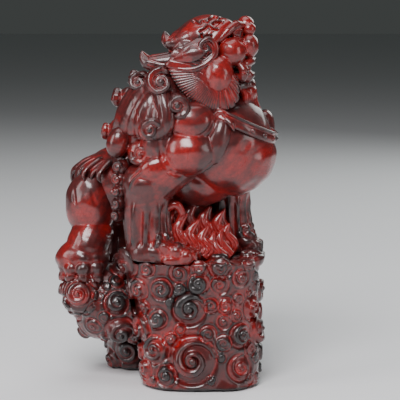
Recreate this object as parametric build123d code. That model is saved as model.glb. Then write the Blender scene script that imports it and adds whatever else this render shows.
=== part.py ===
from build123d import *
import math
import os

# Foo dog on a cloud-scroll rock, cast in resin as separate pieces that are pinned and bonded.
# Frame: +Z up, origin under the middle of the pedestal on the surface it stands on.
# The dog looks towards +X. Its right side is towards -Y. Every size is in millimetres.

# ---- driving dimensions ------------------------------------------------------

glue_gap = 0.05             # left round every dowel for the adhesive
dowel_radius = 4.0
dowel_depth = 12.0          # how far a dowel goes into each of its two pieces

felt_thickness = 1.5
felt_inset = 7.0            # felt edge to rock edge

pedestal_width = 84.0       # at the foot, along X
pedestal_depth = 76.0
pedestal_height = 84.0
pedestal_corner = 27.0      # corner radius of the plan
pedestal_waist = 2.0        # how far the sides draw in half way up
pedestal_flare = 13.0       # how much further the top reaches towards -X

shelf_length = 80.0         # rock shelf behind the pedestal, along its slope
shelf_depth = 54.0
shelf_thickness = 46.0
shelf_slope = 33.0          # degrees, outer end up
shelf_drop = 35.0           # shelf middle below the pedestal top

foot_rock_width = 40.0      # rock that carries the shelf
foot_rock_depth = 40.0
foot_rock_offset = 37.0     # behind the pedestal's middle, along +Y

scroll_ball_radius = 13.0

foreleg_radius = 16.5
foreleg_length = 62.0       # stand to the point of the shoulder
paw_length = 40.0
left_paw_length = 26.0      # the left foot stands at the pedestal's front edge
paw_height = 15.0
paw_inset = 9.0             # heel to pedestal edge
stride = 57.0               # from the right foreleg to the left one, along X
leg_spread = 34.0           # the same, along Y
flame_height = 44.0         # flames between the forelegs
flame_radius = 9.0

chest_rise = 76.5           # chest middle above the stand
chest_size = (34.5, 33.0, 36.0)
barrel_size = (34.0, 30.0, 32.0)
belly_size = (26.0, 23.0, 18.0)     # low swell behind the forelegs' tops
loin_size = (29.0, 27.0, 28.0)
rump_size = (27.0, 25.0, 27.0)
neck_size = (23.0, 22.0, 22.0)
mane_size = (36.0, 35.0, 33.0)
fall_size = (27.0, 31.0, 28.0)      # lower half of the mane, over the back

thigh_size = (17.0, 17.0, 21.0)
hind_paw_size = (18.5, 15.0, 14.0)

head_rise = 58.0            # head middle above the chest middle
skull_size = (21.0, 22.0, 22.0)
muzzle_size = (13.0, 15.0, 11.5)
cheek_size = (9.0, 8.0, 12.2)
brow_ball_radius = 9.6      # round upper cheek under each eye
cheek_spread = 15.0         # head middle to each cheek, along Y
nose_radius = 5.6
jaw_size = (15.0, 13.0, 8.0)
crest_size = (22.0, 20.0, 13.0)
nape_size = (14.0, 20.0, 13.0)      # back of the crest, where the locks root
lock_length = 30.0          # pointed locks that sweep back off the crest
lock_radius = 8.0
ear_size = (14.5, 3.6, 8.6)
ruff_thickness = 2.4
ruff_size = (28.0, 27.0, 27.0)

collar_width = 7.5
collar_thickness = 2.0
collar_tilt = 25.0          # degrees, low at the chest
stud_radius = 1.9
stud_count = 7
stud_arc = 96.0            # degrees of collar that the studs cover, about its lowest point

curl_radius = 7.0           # mane curls
elbow_curl_radius = 4.4
elbow_curl_count = 4

body_turn = -20.0           # degrees, how the body heads from rump to chest

ball_lunes = 2              # faces round each ball

# ---- places that follow from them --------------------------------------------

stand = felt_thickness + pedestal_height
heading = Vector(1, 0, 0).rotate(Axis.Z, body_turn)
across = heading.cross(Vector(0, 0, 1))                     # towards the dog's right side

chest = Vector(14, -2, stand + chest_rise)
barrel = chest - heading * 34 + Vector(0, 0, -3)
belly = chest + Vector(-16, 3, -24)
loin = barrel - heading * 20 + Vector(0, 0, -14)
rump = loin - heading * 20 + Vector(0, 0, -14)
neck = chest + Vector(-12, 0, 30)
mane = chest + Vector(-34, 4, 15)
mane_fall = mane + Vector(-12, 6, -16)
head = chest + Vector(-10, -2, head_rise)

right_leg_x = -(pedestal_width / 2 - paw_inset)
left_leg_x = right_leg_x + stride
right_leg_y = -pedestal_depth / 2 + 19
left_leg_y = right_leg_y + leg_spread

shelf = Vector(-pedestal_width / 2 - 11, 13, stand - shelf_drop)
foot_rock = Vector(-pedestal_width / 2 - 4, foot_rock_offset, felt_thickness)
right_hind = Vector(-pedestal_width / 2 - 32, 11, stand + 37)
left_hind = right_hind + Vector(14, 36, -3)
right_hind_paw = Vector(-pedestal_width / 2 - 35, 3, stand - 2)
left_hind_paw = Vector(-pedestal_width / 2 - 16, 41, stand - 14)
scroll_ball = right_hind_paw + Vector(-2, -8, -scroll_ball_radius - 10)


# ---- shapes that several pieces share ----------------------------------------

def unit_ball():
    """A ball of radius 1 made of equal lunes, so that no face closes on itself."""
    angle = 360 / ball_lunes
    lunes = [
        Solid.make_sphere(1, angle1=-90, angle2=90, angle3=angle).rotate(Axis.Z, angle * index)
        for index in range(ball_lunes)
    ]
    skins = [face for lune in lunes for face in lune.faces() if face.geom_type == GeomType.SPHERE]
    return Solid(Shell(skins))


def egg(middle, size, turn=(0, 0, 0)):
    """An ellipsoid with these half sizes, turned about its own middle."""
    return Pos(*middle) * Rot(*turn) * Part(scale(unit_ball(), by=size).wrapped)


def limb(stations):
    """A smooth limb through (middle, half size along X, half size along Y), from the bottom up."""
    sections = [
        Pos(*middle) * Ellipse(across_x, across_y)
        for middle, across_x, across_y in stations
    ]
    return loft(sections)


def ball(middle, radius):
    """A ball with the same faces as an ellipsoid, so that a cut leaves it whole."""
    return egg(middle, (radius, radius, radius))


def lock(root, tip, radius, tip_radius=0.9):
    """A pointed lock of hair: a straight taper with a round tip."""
    line = tip - root
    body = Plane(origin=root, z_dir=line) * Pos(0, 0, line.length / 2) * Cone(
        radius, tip_radius, line.length
    )
    return body + Pos(*tip) * Sphere(tip_radius)


def on_egg(middle, size, bearing, rise):
    """The point of an ellipsoid's skin at a bearing round +Z from +X and a rise above its middle, in degrees."""
    level = math.cos(math.radians(rise))
    return middle + Vector(
        size[0] * level * math.cos(math.radians(bearing)),
        size[1] * level * math.sin(math.radians(bearing)),
        size[2] * math.sin(math.radians(rise)),
    )


def head_side(point):
    """The same point on the other side of the head's middle plane."""
    return Vector(point.X, 2 * head.Y - point.Y, point.Z)


def one_solid(shape):
    """The main solid of a shape that was cut to its seat."""
    return max(shape.solids(), key=lambda solid: solid.volume)


def boxes_meet(one, other):
    """Whether the boxes round two shapes share any room."""
    a, b = one.bounding_box(), other.bounding_box()
    apart = (
        a.min.X > b.max.X or b.min.X > a.max.X
        or a.min.Y > b.max.Y or b.min.Y > a.max.Y
        or a.min.Z > b.max.Z or b.min.Z > a.max.Z
    )
    return not apart


def seated(shape, *neighbours):
    """A piece trimmed so that it sits on its neighbours face to face."""
    for neighbour in neighbours:
        if boxes_meet(shape, neighbour):
            shape = shape - neighbour
    return one_solid(shape)


def seated_group(shapes, *neighbours):
    """Like pieces that are each trimmed to their seats and kept as separate solids."""
    return Compound(children=[seated(shape, *neighbours) for shape in shapes])


def dowel(middle, direction, depth=dowel_depth):
    """A dowel centred on a seam."""
    return Plane(origin=middle, z_dir=direction) * Cylinder(dowel_radius, 2 * depth)


def dowel_hole(middle, direction, depth=dowel_depth):
    """The hole for a dowel, open on both sides of its seam."""
    return Plane(origin=middle, z_dir=direction) * Cylinder(dowel_radius + glue_gap, 2 * depth + 1)


# ---- the rock ----------------------------------------------------------------

def rock_plan(inset, flare=0.0):
    """Plan of the pedestal, drawn in by inset, with its -X side moved out by flare."""
    width = pedestal_width + flare - 2 * inset
    plan = RectangleRounded(width, pedestal_depth - 2 * inset, pedestal_corner - inset)
    return Pos(-flare / 2, 0, 0) * plan


def make_pedestal():
    """Upright rock column, drawn in at the waist and flared at the top."""
    sections = [
        Pos(0, 0, felt_thickness) * rock_plan(0),
        Pos(0, 0, felt_thickness + pedestal_height / 2) * rock_plan(pedestal_waist, pedestal_flare / 4),
        Pos(0, 0, stand) * rock_plan(0, pedestal_flare),
    ]
    return loft(sections)


def make_shelf():
    """Rock shelf that leans out of the pedestal and carries the hind paws."""
    size = (shelf_length / 2, shelf_depth / 2, shelf_thickness / 2)
    return egg(shelf, size, (0, shelf_slope, 0))


def make_foot_rock():
    """Second rock under the shelf, on the surface behind the pedestal."""
    top = shelf.Z - foot_rock.Z
    half_width, half_depth = foot_rock_width / 2, foot_rock_depth / 2
    return limb([
        (foot_rock, half_width * 0.9, half_depth * 0.9),
        (foot_rock + Vector(-1, 0, top * 0.35), half_width, half_depth),
        (foot_rock + Vector(0, -4, top), half_width * 0.8, half_depth * 0.8),
    ])


def make_felts():
    """One felt under each rock, set in from its edge."""
    under_pedestal = extrude(rock_plan(felt_inset), felt_thickness)
    half_width = foot_rock_width / 2 * 0.9 - felt_inset
    half_depth = foot_rock_depth / 2 * 0.9 - felt_inset
    under_rock = extrude(Pos(foot_rock.X, foot_rock.Y, 0) * Ellipse(half_width, half_depth), felt_thickness)
    return under_pedestal, under_rock


# ---- the dog -----------------------------------------------------------------

def make_torso():
    """Chest, barrel, loins, rump and neck in one casting."""
    return (
        egg(chest, chest_size)
        + egg(barrel, barrel_size, (0, 0, body_turn))
        + egg(belly, belly_size, (0, 0, body_turn))
        + egg(loin, loin_size, (0, 0, body_turn))
        + egg(rump, rump_size, (0, 0, body_turn))
        + egg(neck, neck_size)
    )


def make_foreleg(x, y, radius, paw_reach, shoulder, shoulder_sizes):
    """Column leg with a long flat paw and a round shoulder."""
    foot = Vector(x, y, stand)
    elbow = Vector(x, y, stand + foreleg_length * 0.72)
    column = limb([
        (foot - Vector(0, 0, 5), radius * 1.12, radius),
        (foot + Vector(0, 0, foreleg_length * 0.3), radius, radius * 0.95),
        (elbow, radius * 1.08, radius),
    ])
    upper = limb([
        (elbow - Vector(0, 0, 4), radius * 1.05, radius * 0.95),
        (elbow + (shoulder - elbow) * 0.55, radius * 1.15, radius * 0.95),
        (shoulder, radius * 0.85, radius * 0.8),
    ])
    paw = egg(foot + Vector(paw_reach / 3, -2, paw_height * 0.35),
              (paw_reach / 2, radius * 0.85, paw_height * 0.9))
    knuckle = egg(elbow - Vector(0, 0, 3), (radius * 1.16, radius * 1.08, radius * 0.8))
    leg = knuckle + paw + column + upper
    for middle, size in shoulder_sizes:
        leg = leg + egg(middle, size)
    below_stand = Pos(0, 0, stand - 50) * Box(500, 500, 100)
    return leg - below_stand


def make_hind_leg(thigh, paw, size):
    """Folded hind leg: round thigh, short shank and a broad paw."""
    hock = paw + Vector(4, 3, hind_paw_size[2])
    shank = limb([
        (paw + Vector(2, 2, 0), size[0] * 0.8, size[1] * 0.8),
        (hock, size[0] * 0.85, size[1] * 0.85),
        (thigh, size[0] * 0.8, size[1] * 0.8),
    ])
    return egg(thigh, size) + shank + egg(paw, hind_paw_size)


def make_tail():
    """Flame tail folded forward over the rump."""
    root = rump + Vector(-12, 2, 11)
    return (
        egg(root, (21, 21, 13), (0, -20, 0))
        + egg(root + Vector(-8, 14, -2), (9, 20, 8), (-12, 0, 20))
        + egg(root + Vector(6, 16, 5), (9, 21, 8), (-8, 0, -12))
        + egg(root + Vector(16, 10, 9), (15, 8, 7), (0, -30, 20))
    )


def make_mane():
    """Mane that wraps the neck and falls over the back."""
    return egg(mane, mane_size) + egg(mane_fall, fall_size)


def mane_curl_places():
    """Snail curls seated on the mane: right side, left side and the row down the back."""
    right = [
        (on_egg(mane, mane_size, -112, 58), curl_radius + 1.4),
        (on_egg(mane, mane_size, -72, 22), curl_radius),
        (on_egg(mane, mane_size, -112, -8), curl_radius),
        (on_egg(mane_fall, fall_size, -112, -12), curl_radius),
        (on_egg(mane_fall, fall_size, -160, 8), curl_radius + 1.4),
    ]
    left = [
        (on_egg(mane, mane_size, 100, 58), curl_radius + 1.4),
        (on_egg(mane, mane_size, 82, 26), curl_radius),
        (on_egg(mane, mane_size, 100, 0), curl_radius),
        (on_egg(mane_fall, fall_size, 80, -8), curl_radius),
        (on_egg(mane_fall, fall_size, 120, 4), curl_radius),
    ]
    back = [
        (on_egg(mane, mane_size, -168, 52), curl_radius),
        (on_egg(mane, mane_size, 160, 20), curl_radius),
        (on_egg(mane_fall, fall_size, 172, 30), curl_radius),
    ]
    return right, left, back


def make_head():
    """Skull with cheeks and a blunt muzzle."""
    side = Vector(0, -cheek_spread, 0)
    lower_cheek = head + Vector(8, 0, -12.5) + side
    upper_cheek = head + Vector(16, 0, 2.5) + side * 0.75
    return (
        egg(head, skull_size)
        + egg(head + Vector(19, 0, 3), muzzle_size)
        + egg(lower_cheek, cheek_size)
        + egg(head_side(lower_cheek), cheek_size)
        + ball(upper_cheek, brow_ball_radius)
        + ball(head_side(upper_cheek), brow_ball_radius)
    )


def make_crest():
    """Brow plate with three pointed locks that sweep back."""
    top = head + Vector(0, 0, 13)
    nape = head + Vector(-11, 0, 5)
    low_root = nape + Vector(-2, -10, -2)
    low_tip = low_root + Vector(-lock_length + 5, -3, -1)
    return (
        egg(top, crest_size, (0, -14, 0))
        + egg(nape, nape_size)
        + lock(nape + Vector(0, 0, 6), nape + Vector(-lock_length * 0.55, 0, 10), lock_radius)
        + lock(low_root, low_tip, lock_radius)
        + lock(head_side(low_root), head_side(low_tip), lock_radius)
    )


def make_ear(place, slant):
    """Leaf ear that lies back along the skull."""
    return egg(place, ear_size, (0, -22, slant))


def make_ruff():
    """Fringe plate that flares round the jaw from ear to ear."""
    middle = head + Vector(4, 0, -12)
    outer = egg(middle, ruff_size)
    inner_size = tuple(half - ruff_thickness for half in ruff_size)
    inner = egg(middle + Vector(0, 0, ruff_thickness), inner_size)
    keep = Pos(middle.X, middle.Y, middle.Z - 20) * Box(120, 120, 44)
    open_front = Pos(middle.X + 38, middle.Y, middle.Z) * Box(44, 120, 120)
    return (outer - inner) & keep - open_front


def make_beard():
    """Chin beard that hangs in front of the chest."""
    chin = head + Vector(26, 0, -19)
    root = chin + Vector(3, 0, -6)
    return egg(root, (8.5, 10, 11), (0, -24, 0)) + lock(root, chin + Vector(13, 0, -26), 7.0, 2.0)


def make_collar():
    """Band that hugs the chest, high at the neck and low at the front."""
    outer_size = tuple(half + collar_thickness for half in chest_size)
    slab = Pos(*(chest + Vector(0, 0, 20))) * Rot(0, collar_tilt, 0) * Box(140, 140, collar_width)
    return egg(chest, outer_size) & slab


def stud_places():
    """Points spread along the collar where it shows at the front."""
    tilt = math.radians(collar_tilt)
    normal = Vector(math.sin(tilt), 0, math.cos(tilt))
    level = chest + Vector(0, 0, 20)
    places = []
    for index in range(stud_count):
        angle = math.radians(stud_arc * (index / (stud_count - 1) - 0.5))
        out = Vector(math.cos(angle), math.sin(angle), 0)
        out = out - normal * out.dot(normal)
        reach = band_reach(level, out)
        places.append(level + out * reach)
    return places


def band_reach(level, out):
    """How far along out the collar's outer face lies from a point inside it."""
    a, b, c = (half + collar_thickness for half in chest_size)
    p = level - chest
    qa = (out.X / a) ** 2 + (out.Y / b) ** 2 + (out.Z / c) ** 2
    qb = 2 * (p.X * out.X / a**2 + p.Y * out.Y / b**2 + p.Z * out.Z / c**2)
    qc = (p.X / a) ** 2 + (p.Y / b) ** 2 + (p.Z / c) ** 2 - 1
    return (-qb + math.sqrt(qb * qb - 4 * qa * qc)) / (2 * qa)


def make_flames():
    """Flame tuft between the forelegs: a low front row and a tall back row that meets the belly."""
    base = Vector((right_leg_x + left_leg_x) / 2 + 2, right_leg_y + 12, stand)
    below_stand = Pos(0, 0, stand - 50) * Box(500, 500, 100)
    flames = egg(base + Vector(0, 5, 0), (25, 19, 17)) - below_stand
    rows = (
        (-14, 2, 4, 0.80), (-5, 1, 0, 0.74), (5, 0, -4, 0.66), (14, 0, -6, 0.50),
        (-15, 11, 3, 1.00), (-5, 13, 1, 1.00), (6, 12, -2, 0.92),
    )
    for shift, back, lean, share in rows:
        root = base + Vector(shift, back, 5)
        tip = root + Vector(lean, 4, flame_height * share - 5)
        flames = flames + lock(root, tip, flame_radius, 2.5)
    return flames


def elbow_curl_middles(x, y, radius):
    """A row of small curls down the back edge of a foreleg."""
    top = stand + foreleg_length * 0.96
    return [
        Vector(x - radius * 0.9, y + radius * 0.7, top - index * elbow_curl_radius * 1.95)
        for index in range(elbow_curl_count)
    ]


# ---- build and seat the pieces -----------------------------------------------

pedestal = make_pedestal()
shelf_rock = seated(make_shelf(), pedestal)
foot_block = seated(make_foot_rock(), pedestal, shelf_rock)
felt_pedestal, felt_rock = make_felts()
paw_ball = seated(ball(scroll_ball, scroll_ball_radius), shelf_rock)

torso = make_torso()

right_shoulder = Vector(right_leg_x + 24, right_leg_y + 2, stand + foreleg_length + 8)
right_muscles = [
    (right_shoulder + Vector(2, -8, 4), (16, 15, 16.5)),
    (right_shoulder + Vector(4, -10, 25), (13.5, 12, 13.5)),
    (right_shoulder + Vector(21, -2, 12), (9, 11, 17)),
]
left_shoulder = Vector(left_leg_x + 2, left_leg_y + 8, stand + foreleg_length + 6)
left_muscles = [
    (left_shoulder + Vector(-2, 7, 4), (16, 14, 16.5)),
    (left_shoulder + Vector(-8, 8, 23), (13, 11, 13)),
]
right_foreleg = make_foreleg(right_leg_x, right_leg_y, foreleg_radius, paw_length,
                             right_shoulder, right_muscles)
right_foreleg = seated(right_foreleg, torso)
left_foreleg = make_foreleg(left_leg_x, left_leg_y, foreleg_radius - 3, left_paw_length,
                            left_shoulder, left_muscles)
left_foreleg = seated(left_foreleg, torso, right_foreleg)

right_hind_leg = make_hind_leg(right_hind, right_hind_paw, thigh_size)
right_hind_leg = seated(right_hind_leg, torso, shelf_rock, pedestal, paw_ball, right_foreleg)
left_hind_leg = make_hind_leg(left_hind, left_hind_paw, thigh_size)
left_hind_leg = seated(left_hind_leg, torso, shelf_rock, pedestal, foot_block, right_hind_leg)
tail = seated(make_tail(), torso, right_hind_leg, left_hind_leg)

skull = seated(make_head(), torso)
mane_piece = seated(make_mane(), torso, right_foreleg, left_foreleg, skull, right_hind_leg, tail)
jaw_middle = head + Vector(19, 0, -19)
lower_jaw = seated(egg(jaw_middle, jaw_size), skull, torso, mane_piece)
crest_piece = seated(make_crest(), skull, mane_piece)
right_ear_place = head + Vector(-9, -23, -3)
right_ear = seated(make_ear(right_ear_place, 8), skull, crest_piece, mane_piece)
left_ear = seated(make_ear(head_side(right_ear_place), -8), skull, crest_piece, mane_piece)
nose = seated(egg(head + Vector(27, 0, 19), (nose_radius, nose_radius + 2, nose_radius)), skull, crest_piece)
ruff = seated(make_ruff(), skull, lower_jaw, mane_piece, torso, right_foreleg, left_foreleg,
              right_ear, left_ear)
beard = seated(make_beard(), skull, lower_jaw, ruff, torso)
dog_so_far = (torso, mane_piece, right_foreleg, left_foreleg, skull, lower_jaw, ruff, beard)
collar = seated(make_collar(), *dog_so_far)
studs = seated_group(
    [ball(place, stud_radius) for place in stud_places()], *dog_so_far, collar
)

around_mane = (mane_piece, torso, right_foreleg, left_foreleg, skull, crest_piece,
               right_ear, left_ear, ruff, tail, right_hind_leg, left_hind_leg)
right_places, left_places, middle_places = mane_curl_places()


def make_curls(places):
    """Snail curls as separate solids, seated on the mane and clear of all that is near it."""
    return seated_group([ball(place, radius) for place, radius in places], *around_mane)


right_curls = make_curls(right_places)
left_curls = make_curls(left_places)
back_curls = make_curls(middle_places)


def make_elbow_curls(x, y, radius, *neighbours):
    """A foreleg's row of small curls, each trimmed to the leg and to the curl above it."""
    trimmed = []
    for place in elbow_curl_middles(x, y, radius):
        trimmed.append(seated(ball(place, elbow_curl_radius), *neighbours, *trimmed))
    return Compound(children=trimmed)


curl_neighbours = (right_foreleg, left_foreleg, torso, mane_piece, right_hind_leg, left_hind_leg)
right_elbow_curls = make_elbow_curls(right_leg_x, right_leg_y, foreleg_radius,
                                     *curl_neighbours, right_curls)
flames = seated(make_flames(), right_foreleg, left_foreleg, torso)
left_elbow_curls = make_elbow_curls(left_leg_x, left_leg_y, foreleg_radius - 3,
                                    *curl_neighbours)
flames = seated(flames, *left_elbow_curls.solids())

# ---- dowels ------------------------------------------------------------------

up = Vector(0, 0, 1)
right_paw_pin = (Vector(right_leg_x, right_leg_y, stand), up)
left_paw_pin = (Vector(left_leg_x, left_leg_y, stand), up)
neck_pin = (head + Vector(-6, 1, -17), Vector(0.3, -0.05, 1))
shelf_pin = (Vector(-pedestal_width / 2 + 2, 6, stand - shelf_drop - 4), Vector(1, 0, 0))

pins = {
    "paw_dowels": ([right_paw_pin, left_paw_pin], dowel_depth),
    "neck_dowel": ([neck_pin], dowel_depth),
    "rock_dowels": ([shelf_pin], dowel_depth),
}

nodes = {
    "pedestal": pedestal,
    "rear_shelf_rock": shelf_rock,
    "rear_foot_rock": foot_block,
    "base_felts": Compound(children=[felt_pedestal, felt_rock]),
    "scroll_ball": paw_ball,
    "torso": torso,
    "right_foreleg": right_foreleg,
    "left_foreleg": left_foreleg,
    "right_hind_leg": right_hind_leg,
    "left_hind_leg": left_hind_leg,
    "tail": tail,
    "head": skull,
    "lower_jaw": lower_jaw,
    "crest": crest_piece,
    "right_ear": right_ear,
    "left_ear": left_ear,
    "nose": nose,
    "jaw_ruff": ruff,
    "chin_beard": beard,
    "mane": mane_piece,
    "mane_curls_right": right_curls,
    "mane_curls_left": left_curls,
    "mane_curls_back": back_curls,
    "collar_band": collar,
    "collar_studs": studs,
    "elbow_curls_right": right_elbow_curls,
    "elbow_curls_left": left_elbow_curls,
    "flame_tuft": flames,
}

drilled = ("pedestal", "rear_shelf_rock", "torso", "right_foreleg", "left_foreleg", "head")
for name, (places, depth) in pins.items():
    for middle, direction in places:
        hole = dowel_hole(middle, direction, depth)
        for piece in drilled:
            nodes[piece] = one_solid(nodes[piece] - hole)
    nodes[name] = Compound(children=[dowel(middle, direction, depth) for middle, direction in places])

os.makedirs("parts", exist_ok=True)
for name, shape in nodes.items():
    export_step(shape, f"parts/{name}.step")
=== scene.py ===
import math

import bmesh
import bpy
import numpy as np
from bpy.props import FloatProperty, FloatVectorProperty, IntProperty, PointerProperty
from bpy.types import Operator, Panel, PropertyGroup
from mathutils import Euler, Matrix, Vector
from mathutils.bvhtree import BVHTree


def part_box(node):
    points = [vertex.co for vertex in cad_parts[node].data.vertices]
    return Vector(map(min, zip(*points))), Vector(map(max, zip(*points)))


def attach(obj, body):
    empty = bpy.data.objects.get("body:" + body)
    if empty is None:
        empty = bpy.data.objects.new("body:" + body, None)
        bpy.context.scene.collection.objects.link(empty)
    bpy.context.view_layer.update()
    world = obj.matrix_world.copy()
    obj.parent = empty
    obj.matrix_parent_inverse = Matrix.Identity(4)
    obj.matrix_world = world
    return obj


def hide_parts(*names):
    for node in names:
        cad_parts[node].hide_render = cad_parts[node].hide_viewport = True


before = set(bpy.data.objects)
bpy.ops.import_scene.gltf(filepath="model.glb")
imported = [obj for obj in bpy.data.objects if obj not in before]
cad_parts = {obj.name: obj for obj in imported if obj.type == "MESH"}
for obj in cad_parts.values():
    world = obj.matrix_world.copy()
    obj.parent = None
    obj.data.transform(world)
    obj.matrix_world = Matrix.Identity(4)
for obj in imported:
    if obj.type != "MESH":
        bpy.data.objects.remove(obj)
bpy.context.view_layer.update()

bl_info = {
    "name": "Foo dog statue",
    "version": (1, 0, 0),
    "blender": (4, 5, 0),
    "location": "3D View > Sidebar > Foo Dog",
    "description": "Carves the lacquered foo dog and its scroll rock round the packed frame",
    "category": "Add Mesh",
}

# Everything is carved in millimetres and brought to metres when a piece is finished.
MM = 0.001
KEPT_SHARE = 0.7  # of a carved piece's triangles, after thinning
MOST_TRIANGLES = 190000  # in one piece
SMALLEST_SHELL = 60  # points; a loose bit with fewer is a speck
UP = Vector((0, 0, 1))
ACROSS = Vector((0, 1, 0))


def about(origin, *rows):
    """Places given by how far they lie from an origin."""
    return [origin + Vector(row) for row in rows]


def corners(node):
    """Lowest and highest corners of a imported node, in millimetres."""
    low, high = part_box(node)
    return Vector(low) / MM, Vector(high) / MM


def sizes():
    """The sizes set in the sidebar."""
    return bpy.context.scene.foo_dog_sizes


# ---- places read from the frame ----------------------------------------------

ROCK_LOW, ROCK_HIGH = corners("pedestal")
STAND = ROCK_HIGH.z
TORSO_LOW, TORSO_HIGH = corners("torso")
CHEST = Vector((TORSO_HIGH.x - 34.5, TORSO_LOW.y + 33, STAND + 76.5))
SKULL_LOW, SKULL_HIGH = corners("head")
HEAD = Vector((SKULL_LOW.x + 21, (SKULL_LOW.y + SKULL_HIGH.y) / 2, CHEST.z + 58))
NEAR_FOOT = Vector((corners("right_foreleg")[0].x + 18.5, ROCK_LOW.y + 19, STAND))
FAR_FOOT = NEAR_FOOT + Vector((57, 34, 0))
BALL_LOW, BALL_HIGH = corners("scroll_ball")
BALL_RADIUS = 13
PAW_BALL = Vector((BALL_LOW.x + BALL_RADIUS, BALL_LOW.y + BALL_RADIUS, BALL_HIGH.z - BALL_RADIUS))
HAUNCH = Vector((ROCK_LOW.x - 19, 11, STAND + 37))
BODY_TURN = -20
HEADING = Vector((math.cos(math.radians(BODY_TURN)), math.sin(math.radians(BODY_TURN)), 0))


# ---- carving tools -----------------------------------------------------------

TEMPLATES = {}
COIL_SHRINK = 0.38  # of a scroll's reach, over one turn
COIL_STEPS = 14  # a turn


def template(kind, *counts):
    """A unit ball, or a straight unit tube along Z with one ring per step, made once and reused."""
    key = (kind, *counts)
    if key not in TEMPLATES:
        form = bmesh.new()
        if kind == "ball":
            bmesh.ops.create_icosphere(form, subdivisions=counts[0], radius=1)
        else:
            rings, sides = counts
            bmesh.ops.create_circle(form, cap_ends=True, segments=sides, radius=1)
            cap = form.faces[:]
            for _ in range(rings - 1):
                grown = bmesh.ops.extrude_face_region(form, geom=cap)["geom"]
                if len(form.faces) > sides + 2:
                    bmesh.ops.delete(form, geom=cap, context="FACES_ONLY")
                moved = [item for item in grown if isinstance(item, bmesh.types.BMVert)]
                cap = [item for item in grown if isinstance(item, bmesh.types.BMFace)]
                bmesh.ops.translate(form, vec=(0, 0, 1), verts=moved)
            bmesh.ops.recalc_face_normals(form, faces=form.faces)
        mesh = bpy.data.meshes.new("template")
        form.to_mesh(mesh)
        form.free()
        unit = np.empty(len(mesh.vertices) * 3)
        mesh.vertices.foreach_get("co", unit)
        TEMPLATES[key] = (mesh, unit.reshape(-1, 3))
    return TEMPLATES[key]


def add_shape(form, mesh, places):
    """Add a template with its points moved to these places."""
    mesh.vertices.foreach_set("co", places.ravel())
    form.from_mesh(mesh)


def ball(form, middle, size, turn=(0, 0, 0), detail=4):
    """Add an ellipsoid with these half sizes, turned by degrees about X, Y and Z."""
    mesh, unit = template("ball", detail)
    spin = np.array(Euler([math.radians(angle) for angle in turn]).to_matrix())
    add_shape(form, mesh, (unit * np.array(size)) @ spin.T + np.array(middle))


def disc(form, middle, out, size, detail=3):
    """Add an ellipsoid whose short axis points along out."""
    mesh, unit = template("ball", detail)
    spin = np.array(Vector(out).to_track_quat("Z", "Y").to_matrix())
    add_shape(form, mesh, (unit * np.array(size)) @ spin.T + np.array(middle))


def sweep(form, path, radii, flat=1.0, up=UP, sides=12):
    """Add a closed tube along a path, flattened along up."""
    mesh, unit = template("tube", len(path), sides)
    middles, wides, highs = [], [], []
    for index, point in enumerate(path):
        ahead = path[min(index + 1, len(path) - 1)] - path[max(index - 1, 0)]
        raised = up[index] if isinstance(up, list) else up
        wide = ahead.cross(raised)
        if wide.length < 1e-3 * ahead.length:
            wide = ahead.orthogonal()
        wide.normalize()
        thin = flat[index] if isinstance(flat, list) else flat
        radius = max(radii[index], 0.05)
        middles.append(point)
        wides.append(wide * radius)
        highs.append(wide.cross(ahead).normalized() * radius * thin)
    ring = np.rint(unit[:, 2]).astype(int)
    middles, wides, highs = np.array(middles), np.array(wides), np.array(highs)
    add_shape(form, mesh, middles[ring] + wides[ring] * unit[:, :1] + highs[ring] * unit[:, 1:2])


def smooth_path(points, steps=6):
    """Points on a smooth curve through a few given ones."""
    path = []
    last = len(points) - 1
    for index in range(last):
        before, start = points[max(index - 1, 0)], points[index]
        end, after = points[index + 1], points[min(index + 2, last)]
        for step in range(steps):
            t = step / steps
            path.append(0.5 * (
                2 * start + (end - before) * t
                + (2 * before - 5 * start + 4 * end - after) * t * t
                + (3 * start - before - 3 * end + after) * t ** 3
            ))
    path.append(points[-1].copy())
    return path


def taper(values, count):
    """Spread a few radii evenly along a path of count points."""
    return list(np.interp(np.linspace(0, 1, count), np.linspace(0, 1, len(values)), values))


def ribbon(form, points, values, flat=1.0, up=UP, sides=12, steps=6):
    """Add a smooth tapering strand through given points."""
    path = smooth_path([Vector(point) for point in points], steps)
    sweep(form, path, taper(values, len(path)), flat, up, sides)


def skin_of(form):
    """Search tree over the faces modelled so far."""
    return BVHTree.FromBMesh(form)


def on_skin(skin, point):
    """Nearest point of a skin and its outward direction there."""
    place, normal, _, _ = skin.find_nearest(point)
    return place, normal


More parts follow.
